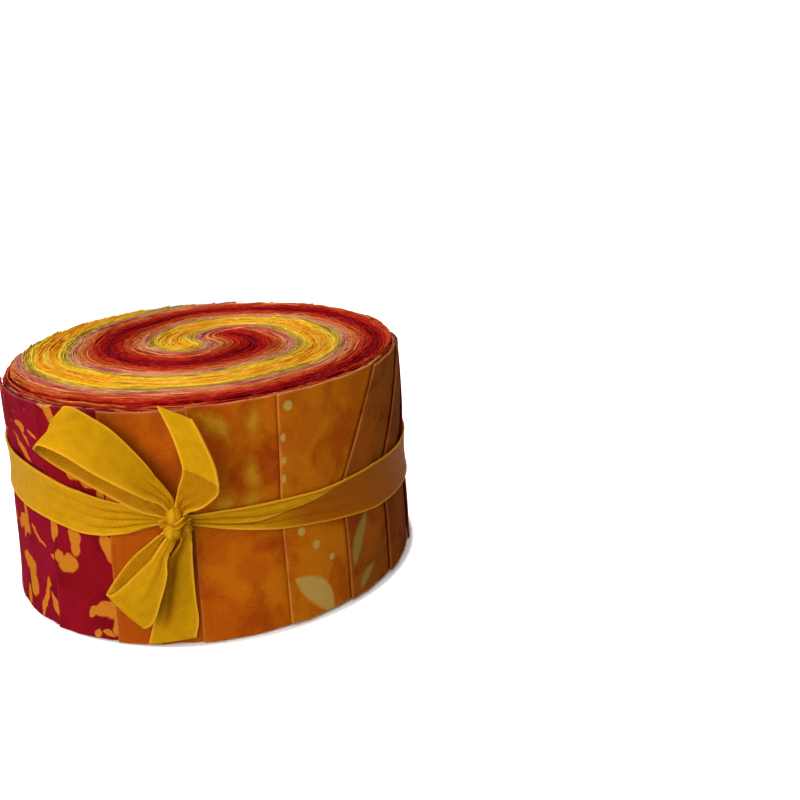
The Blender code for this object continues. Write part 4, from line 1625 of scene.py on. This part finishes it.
        # Painted shade over the band's right side, past the turned edge
        under = (1.0 - over) * ramp(signed, *self.shade_start)
        under = np.maximum(under, ramp(signed, *self.shade_whole)) * ramp(signed, *self.shade_end)
        crease = valley * gathered * self.valley_shade + self.shadow_dark * shaded
        crease = np.clip(np.maximum(crease, self.shade_dark * under), 0.0, 1.0)
        crease = crease * (1.0 - self.rim_clear * rim_edge)
        cloth = Cloth("ribbon_band_cloth")
        thickness = self.cloth * (1.0 + SELVEDGE_THICK * rim_edge)
        # The edge share carries the selvedge cord and the painted highlight; the crease share carries all the
        # painted shade
        cloth.add(grid, uv, thickness, closed=True, edge=np.maximum(rim_edge, rim_highlight), crease=crease)
        piece = cloth.make(material)
        settle(piece, RIBBON_SLOT, "ribbon_band")
        return piece


# A row is a ribbon's two edges at one place along it, in mm: one side's x, y and z, then the other's
Row = tuple[float, float, float, float, float, float]

UPPER_LOOP = (
    (0.0, -61.5, 39.7, -1.1, -62.4, 38.8),
    (-0.4, -61.3, 42.4, -2.7, -63.6, 41.8),
    (-3.2, -60.9, 47.0, -6.0, -65.0, 44.0),
    (-6.5, -60.1, 51.7, -9.6, -66.2, 46.8),
    (-12.3, -59.6, 58.8, -16.5, -66.3, 51.5),
    (-17.0, -59.8, 62.9, -22.5, -65.2, 55.6),
    (-20.2, -60.4, 65.5, -28.0, -62.7, 57.4),
    (-22.2, -60.2, 65.7, -30.0, -61.6, 56.7),
    (-23.2, -59.2, 64.3, -30.5, -60.5, 55.6),
    (-22.2, -58.3, 63.4, -29.6, -59.0, 53.4),
    (-17.2, -57.7, 60.2, -26.2, -58.4, 50.0),
    (-11.5, -57.9, 54.6, -19.0, -58.9, 44.9),
    (-7.4, -58.8, 49.2, -13.9, -59.7, 41.7),
    (-5.0, -59.9, 44.4, -8.3, -60.2, 38.4),
    (-2.7, -60.4, 40.2, -3.3, -60.4, 36.7),
    (-1.0, -60.8, 38.4, -1.4, -60.8, 36.4),
)
LOWER_LOOP = (
    (-1.6, -62.0, 33.2, -0.6, -62.0, 32.8),
    (-3.4, -62.0, 31.2, -0.9, -62.0, 30.5),
    (-6.2, -62.6, 27.5, -2.7, -63.2, 27.2),
    (-9.8, -62.8, 24.3, -3.2, -63.7, 22.6),
    (-13.6, -62.8, 20.8, -5.2, -63.6, 16.8),
    (-16.8, -62.5, 18.3, -8.0, -63.0, 10.2),
    (-18.6, -61.6, 17.8, -10.9, -62.0, 8.3),
    (-17.6, -60.6, 19.6, -9.8, -60.9, 10.6),
    (-15.0, -60.4, 23.0, -7.6, -60.6, 15.4),
    (-11.6, -60.3, 26.8, -5.8, -60.5, 21.0),
    (-8.2, -60.4, 29.6, -4.4, -60.5, 26.2),
    (-3.9, -60.6, 32.8, -2.6, -60.6, 30.0),
    (-1.8, -60.8, 34.0, -1.2, -60.8, 32.4),
)
UPPER_TAIL = (
    (0.2, -61.6, 39.4, 1.2, -61.6, 37.0),
    (0.9, -62.0, 42.3, 3.6, -62.0, 38.7),
    (2.0, -62.9, 45.7, 7.3, -63.8, 40.4),
    (3.3, -63.9, 49.0, 11.3, -66.1, 44.2),
    (3.6, -64.3, 50.3, 11.9, -66.9, 46.2),
    (3.7, -64.5, 50.9, 12.0, -67.1, 47.0),
    (3.6, -64.3, 51.5, 12.0, -67.0, 47.9),
    (3.1, -63.8, 53.9, 11.3, -66.6, 52.4),
    (1.5, -62.2, 58.7, 8.6, -65.0, 59.2),
    (-1.3, -60.3, 64.8, 6.9, -63.4, 62.2),
)
LOWER_TAIL = (
    (0.2, -60.8, 33.4, 1.8, -60.8, 34.0),
    (0.5, -60.5, 30.9, 2.9, -60.5, 32.5),
    (-1.0, -59.9, 28.2, 2.8, -59.9, 28.8),
    (-3.4, -59.1, 25.0, 2.4, -59.2, 24.8),
    (-5.5, -58.6, 19.5, 2.1, -58.7, 18.8),
    (-7.4, -58.1, 13.5, 1.9, -58.2, 12.8),
    (-9.3, -57.8, 7.4, 1.9, -58.0, 7.0),
    (-11.3, -57.7, 1.0, 0.8, -58.1, 2.4),
)


class Crease(NamedTuple):
    """A lengthwise fold line in a ribbon: its share across at its two ends, the rows between which it runs,
    how deep it is in mm, less than nothing for a ridge, its half width in mm and how dark the painted shade
    in it is."""

    start_share: float
    end_share: float
    first_row: float
    last_row: float
    depth: float
    half_width: float
    dark: float = 0.7


@dataclass
class RibbonRun:
    """A loop or tail of the bow, a sheet between two edge curves."""

    name: str
    node: str
    rows: tuple[Row, ...]
    creases: tuple[Crease, ...] = ()
    # Painted shade over rows whose cloth faces down and away: from one row to another, and how dark it is
    painted_shade_rows: tuple[tuple[float, float, float], ...] = ()
    count: float = 3.0
    gather_depth: float = 0.9
    first_gather: float = 2.0
    last_gather: float = 0.0
    crown: float = 0.4 * MM
    steps: int = 12
    columns: int = 37
    cloth: float = 0.36 * MM
    selvedge: float = 0.45 * MM
    held: str = "folded"
    # How far up in the gathers the flat sheet lies, how soon they are full where the ribbon widens, how they
    # weave about, and how dark and narrow the painted shade in their valleys is
    gather_set: float = 0.6
    gather_soon: float = 2.0
    weave_size: float = 0.05
    weave_turn: float = 1.7
    gather_shade: float = 1.8
    valley_power: float = 1.3
    # How strong a fold line is at its very ends
    crease_end: float = 0.1
    # Over how many rows the painted shade on those rows begins and ends
    shade_ramp_rows: float = 0.4
    # The least width that a rim is reckoned by, and the least area, as shares of the whole ones
    least_span: float = 0.3
    least_area: float = 0.31

    def spread(self, cloth: Cloth) -> tuple[float, float]:
        """Add the sheet: straight across between its edges, plus a crown, gathers and creases.

        The crown is a parabola across, the gathers are round ridges that fade away from the knot, and each of
        the creases is a bell-shaped groove about its line. Painted shade lies in the gathers' valleys, in the
        grooves and over the rows that face away.

        Args:
            cloth: The piece that it joins.

        Returns:
            Its length and its area as it lies.
        """
        table = smooth_line(np.array(self.rows) * MM, self.steps)
        row = np.linspace(0.0, len(self.rows) - 1.0, len(table))[:, None]
        share = np.linspace(0.0, 1.0, self.columns)[None, :]
        first, second = table[:, None, :3], table[:, None, 3:]
        flat = first + (second - first) * share[..., None]
        span = np.linalg.norm(second - first, axis=2)
        lift = self.crown * 4.0 * share * (1.0 - share) * span / RIBBON_WIDTH
        knotted = ((0.0, self.first_gather), (row[-1], self.last_gather))
        near = sum(bell(row - end, rows) for end, rows in knotted if rows > 0)
        ridges = pleats(share + self.weave_size * np.sin(self.weave_turn * row), self.count)
        size = np.minimum(span / RIBBON_WIDTH * self.gather_soon, 1.0) * near * self.gather_depth * MM
        lift = lift + (ridges - self.gather_set) * size
        # Painted shade in the gathers' valleys
        crease = (1.0 - ridges) ** self.valley_power * np.minimum(near * self.gather_shade, 1.0)
        for line in self.creases:
            part = ramp(row, line.first_row, line.last_row)
            middle = line.start_share + (line.end_share - line.start_share) * part
            inside = np.minimum(row - line.first_row, line.last_row - row)
            ends = np.clip(inside + self.crease_end, 0.0, 1.0)
            groove = bell((share - middle) * span, line.half_width * MM) * ends
            lift = lift - line.depth * MM * groove
            # Painted shade in the groove
            crease = np.maximum(crease, groove * line.dark)
        # Painted shade over rows whose cloth faces down and away
        for start, end, deeper in self.painted_shade_rows:
            turned = ease((row - start) / self.shade_ramp_rows) * ease((end - row) / self.shade_ramp_rows)
            crease = np.maximum(crease, deeper * turned)
        grid = flat + grid_normals(flat) * lift[..., None]
        along = run_length(grid[:, self.columns // 2])
        uv = laid_flat(along, np.broadcast_to((share - 0.5) * RIBBON_WIDTH, grid.shape[:2]))
        rim = np.minimum(share, 1.0 - share) * np.maximum(span, self.least_span * RIBBON_WIDTH)
        edge = bell(rim, self.selvedge)
        thickness = self.cloth * (1.0 + SELVEDGE_THICK * edge)
        cloth.add(grid, uv, thickness, edge=edge, crease=crease * (1.0 - edge))
        cells = np.cross(np.diff(grid, axis=0)[:, :-1], np.diff(grid, axis=1)[:-1])
        return float(along[-1]), float(np.sum(np.linalg.norm(cells, axis=2)))

    def build(self, material: Material) -> Piece:
        """Make the loop or tail a piece of its own.

        Args:
            material: The ribbon.

        Returns:
            The piece.
        """
        cloth = Cloth(self.name)
        length, area = self.spread(cloth)
        piece = cloth.make(material)
        settle(piece, RIBBON_SLOT, self.node)
        whole = RIBBON_WIDTH * length
        min(whole, max(area, self.least_area * whole))
        return piece


class Turn(NamedTuple):
    """One tight turn of the knot, in mm: its middle, its half width, depth and height, how far its
    axis tilts in degrees, and how much wider it is at its top than in its middle."""

    x: float
    y: float
    z: float
    half_wide: float
    half_deep: float
    half_tall: float
    tilt: float
    widens: float


@dataclass
class BowKnot:
    """The knot: two tight turns of creased ribbon, one above the other, and the tucks beside them."""

    turns: tuple[Turn, ...] = (
        Turn(-0.1, -61.5, 37.7, 1.95, 2.4, 2.25, 12.0, -0.12),
        Turn(-0.85, -61.6, 33.7, 2.05, 2.6, 2.1, -4.0, 0.22),
    )
    # Short folds: over the right side between the two turns, and two tucks beside them
    tucks: tuple[tuple[Row, ...], ...] = (
        ((0.2, -64.0, 36.6, -0.2, -64.1, 35.2), (1.4, -63.9, 37.3, 1.4, -64.2, 35.7),
         (2.3, -63.0, 37.8, 2.5, -63.2, 36.4), (2.6, -61.6, 37.4, 2.8, -61.6, 36.4)),
        ((-1.6, -61.4, 36.9, -1.2, -61.6, 35.8), (-2.9, -62.0, 37.0, -2.6, -62.6, 35.5),
         (-3.9, -61.6, 36.6, -3.5, -62.2, 35.0), (-4.3, -60.2, 36.0, -3.7, -60.4, 34.6)),
        ((1.0, -61.0, 36.4, 1.1, -61.0, 34.4), (2.2, -61.8, 36.6, 2.5, -61.8, 33.8),
         (3.2, -61.4, 36.5, 3.3, -61.2, 33.4), (3.4, -60.0, 36.2, 3.5, -60.0, 33.2)),
    )
    pleat_count: float = 3.0
    pleat_start: float = 0.2
    groove: float = 0.03
    around: int = 72
    across: int = 49
    cloth: float = 0.3 * MM
    # How far round a turn's ends come, in degrees, and the powers that make it a barrel
    side_reach: float = 88.0
    round_power: float = 0.75
    along_power: float = 0.9
    # How the creases weave about, and how strong the painted highlight on their ridges and the painted shade
    # in their valleys are
    weave_size: float = 0.035
    weave_turns: float = 2.0
    ridge_highlight: float = 0.25
    valley_shade: float = 0.6
    # How thin the cloth is at the turn's ends, and how soon it is whole
    end_thin: float = 0.1
    end_grows: float = 2.0
    # Millimetres of ribbon to a radian round the turn and to a radian along it
    round_mm: float = 2.4
    along_mm: float = 3.5

    def add_turn(self, cloth: Cloth, turn: Turn) -> None:
        """Add one turn: a barrel whose radius dips in narrow creases that run round it.

        Args:
            cloth: The knot.
            turn: Where it lies and how big it is.
        """
        spin = np.linspace(0.0, 2 * np.pi, self.around + 1)[:-1, None]
        reach = math.radians(self.side_reach)
        side = np.linspace(-reach, reach, self.across)[None, :]
        share = side / np.pi + 0.5 + self.weave_size * np.sin(self.weave_turns * spin + turn.z)
        ridges = pleats(share, self.pleat_count, self.pleat_start)
        round_it = np.cos(side) ** self.round_power * (1.0 - self.groove * (1.0 - ridges))
        forward, up = np.cos(spin) * round_it, -np.sin(spin) * round_it
        along = np.sign(side) * np.abs(np.sin(side)) ** self.along_power * (1.0 + turn.widens * up)
        tilt = math.radians(turn.tilt)
        sizes = np.array([turn.half_wide, turn.half_deep, turn.half_tall]) * MM
        wide, deep, tall = along * sizes[0], -forward * sizes[1], up * sizes[2]
        grid = np.stack([wide * math.cos(tilt) - tall * math.sin(tilt), np.broadcast_to(deep, wide.shape),
                         wide * math.sin(tilt) + tall * math.cos(tilt)], axis=2)
        grid = grid + np.array([turn.x, turn.y, turn.z]) * MM
        whole = np.append(spin[:, 0], 2 * np.pi)[:, None] * self.round_mm
        places = np.broadcast_arrays(whole, side * self.along_mm)
        thin = self.cloth * np.minimum(1.0, self.end_thin + self.end_grows * np.cos(side))
        # The edge share paints a highlight on the ridges, and the crease share paints shade into the valleys
        cloth.add(grid, np.stack(places, axis=2), thin, closed=True, edge=self.ridge_highlight * ridges ** 4,
                  crease=self.valley_shade * (1.0 - ridges) ** 2)

    def build(self, material: Material) -> Piece:
        """Make the knot.

        Args:
            material: The ribbon.

        Returns:
            The piece.
        """
        cloth = Cloth("bow_knot_cloth")
        for turn in self.turns:
            self.add_turn(cloth, turn)
        for rows in self.tucks:
            RibbonRun("tuck", "bow_knot", rows, count=2.0, gather_depth=0.35, first_gather=9.0, steps=6,
                      columns=17, selvedge=0.3 * MM, cloth=0.3 * MM).spread(cloth)
        return settle(cloth.make(material), RIBBON_SLOT, "bow_knot")


# The studio and the finished roll


@dataclass
class Studio:
    """A plain pale floor, soft light and the camera at the photograph's place."""

    camera_at: tuple[float, float, float] = (47.335 * MM, -268.448 * MM, 132.601 * MM)
    right: tuple[float, float, float] = (0.99819, -0.0465, -0.03813)
    up: tuple[float, float, float] = (0.05084, 0.31416, 0.94801)
    back: tuple[float, float, float] = (-0.0321, -0.94823, 0.31596)
    lens: float = 42.704
    sensor: float = 36.0
    nearest: float = 0.01
    # The radii of the floor's rings, the last at its edge
    floor_rings: tuple[float, ...] = (0.0001, 0.1, 0.25, 0.35)
    # The floor's glow, and between which distances from the middle it grows
    floor_glow: float = 0.9
    glow_from: float = 58.0 * MM
    glow_whole: float = 59.8 * MM
    # The surround: the curve's radius from floor to wall, the wall's top, and the steps round and up
    surround_curve: float = 0.4
    surround_height: float = 1.4
    steps_round: int = 96
    curve_steps: int = 13
    # The dim warm room's strength and colour, and what the lamps face
    room: float = 0.32
    room_colour: tuple[float, float, float, float] = (1.0, 0.84, 0.68, 1.0)
    lit_point: tuple[float, float, float] = (0.0, 0.0, 0.03)
    # Name, place in metres, size in metres and power in watts of each lamp
    LAMPS = (
        ("key", (-0.24, -0.54, 0.32), 0.90, 7.3),
        ("top", (0.0, 0.10, 0.80), 0.60, 2.6),
    )

    def place_camera(self) -> None:
        """Put the camera where the photograph was taken from, with its own three directions."""
        data = bpy.data.cameras.new("camera")
        data.lens = self.lens
        data.sensor_width = self.sensor
        data.clip_start = self.nearest
        camera = put_in_scene("camera", data)
        camera.matrix_world = Matrix.Translation(self.camera_at) @ Matrix(
            (self.right, self.up, self.back)).transposed().to_4x4()
        bpy.context.scene.camera = camera

    def turned(self, name: str, radius: Array, height: Array, material: Material) -> Piece:
        """Turn a profile once round the middle: each ring is its radius by the turn's sine and cosine.

        Args:
            name: The piece's name.
            radius: The profile's radii, in metres.
            height: The profile's heights, in metres.
            material: Its finish.

        Returns:
            The piece.
        """
        turn = np.linspace(0.0, 2 * np.pi, self.steps_round + 1)[:-1, None]
        points = np.stack(np.broadcast_arrays(radius * np.cos(turn), radius * np.sin(turn), height), axis=2)
        index = np.arange(points.shape[0] * points.shape[1]).reshape(points.shape[:2])
        faces = corners(np.vstack([index, index[:1]])).reshape(-1, 4)
        mesh = bpy.data.meshes.new(name)
        mesh.from_pydata(points.reshape(-1, 3).tolist(), [], faces.tolist())
        mesh.shade_smooth()
        mesh.materials.append(material)
        piece = put_in_scene(name, mesh)
        return piece

    def lay_floor(self) -> None:
        """Lay a pale matt floor, and curve a lit white surround up from its edge.

        The floor glows from just outside the roll's foot, as under a brightly lit room, so that it
        stays white. The surround shows white behind the roll. Neither lights the roll.
        """
        paper, add, shader = new_material("pale_paper_floor")
        away = add("VectorMath", {0: add("TexCoord", {}, "Object")}, "Value", operation="LENGTH")
        glow = add("MapRange", {"Value": away, "From Min": self.glow_from, "From Max": self.glow_whole,
                                "To Max": self.floor_glow}, **SMOOTH)
        plug(shader, {"Base Color": linear("#f6f6f4"), "Roughness": 0.9, "Specular IOR Level": 0.1,
                      "Emission Color": WHITE, "Emission Strength": glow})
        rings, bend = np.array(self.floor_rings), self.surround_curve
        floor = self.turned("floor", rings, np.zeros(len(rings)), paper)
        floor.visible_diffuse = False
        white, _, lit = new_material("lit_white_surround")
        plug(lit, {"Base Color": (0.0, 0.0, 0.0, 1.0), "Emission Color": WHITE, "Emission Strength": 1.0})
        curve = np.linspace(0.0, np.pi / 2, self.curve_steps)
        radius = rings[-1] + bend * np.append(np.sin(curve), 1.0)
        height = np.append(bend * (1.0 - np.cos(curve)), self.surround_height)
        surround = self.turned("surround", radius, height, white)
        surround.visible_diffuse = False
        surround.visible_glossy = False
        surround.visible_shadow = False

    def light(self) -> None:
        """Hang a large soft key from the left front and a weaker light above, in a dim warm room."""
        for name, place, size, power in self.LAMPS:
            data = bpy.data.lights.new(name, "AREA")
            data.size = size
            data.energy = power
            lamp = put_in_scene(name, data)
            lamp.location = place
            lamp.rotation_mode = "QUATERNION"
            lamp.rotation_quaternion = (Vector(self.lit_point) - Vector(place)).to_track_quat("-Z", "Y")
        world = bpy.data.worlds.new("dim_room")
        world.use_nodes = True
        plug(world.node_tree.nodes["Background"], {"Color": self.room_colour, "Strength": self.room})
        bpy.context.scene.world = world
        bpy.context.scene.view_settings.view_transform = "Standard"


# Each run's shaded rows and the darkness of its creases are painted shade
BOW = (
    RibbonRun("bow_loop_upper_cloth", "bow_loop_upper", UPPER_LOOP, last_gather=2.0,
              painted_shade_rows=((8.6, 17.0, 0.4),), creases=(Crease(0.55, 0.60, 0.5, 4.0, 0.25, 1.2, 0.2),
                                                  Crease(0.62, 0.62, 6.2, 9.0, 0.8, 2.2, 0.0))),
    RibbonRun("bow_loop_lower_cloth", "bow_loop_lower", LOWER_LOOP, last_gather=1.6,
              painted_shade_rows=((6.8, 14.0, 0.4),), creases=(Crease(0.45, 0.55, 0.5, 4.5, -0.5, 1.1, 0.0),)),
    RibbonRun("ribbon_tail_upper_cloth", "ribbon_tail_upper", UPPER_TAIL, first_gather=1.5,
              painted_shade_rows=((-1.0, 5.2, 0.4),)),
    RibbonRun("ribbon_tail_lower_cloth", "ribbon_tail_lower", LOWER_TAIL, first_gather=1.6,
              creases=(Crease(0.35, 0.30, 0.5, 6.5, 0.4, 0.9),)),
)


def main() -> None:
    """Build the tied roll in order, studio, folded ends, layers, ribbon and bow, and report it."""
    logging.basicConfig(level=logging.INFO, format="%(name)s %(message)s")
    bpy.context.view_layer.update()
    studio = Studio()
    studio.place_camera()
    studio.lay_floor()
    studio.light()
    roll = RollShape()
    frays = FrayedThreads()
    pieces = FoldedEnds(roll, frays).build() + WoundLayers(roll, CutEdges(), frays).build()
    ribbon = TwillRibbon().make()
    for part in (RibbonBand(roll), *BOW, BowKnot()):
        pieces.append(part.build(ribbon))
    for piece in pieces:
        LOG.info("%s: %d faces", piece.name, len(piece.data.polygons))
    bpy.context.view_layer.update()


if __name__ == "__main__":
    main()
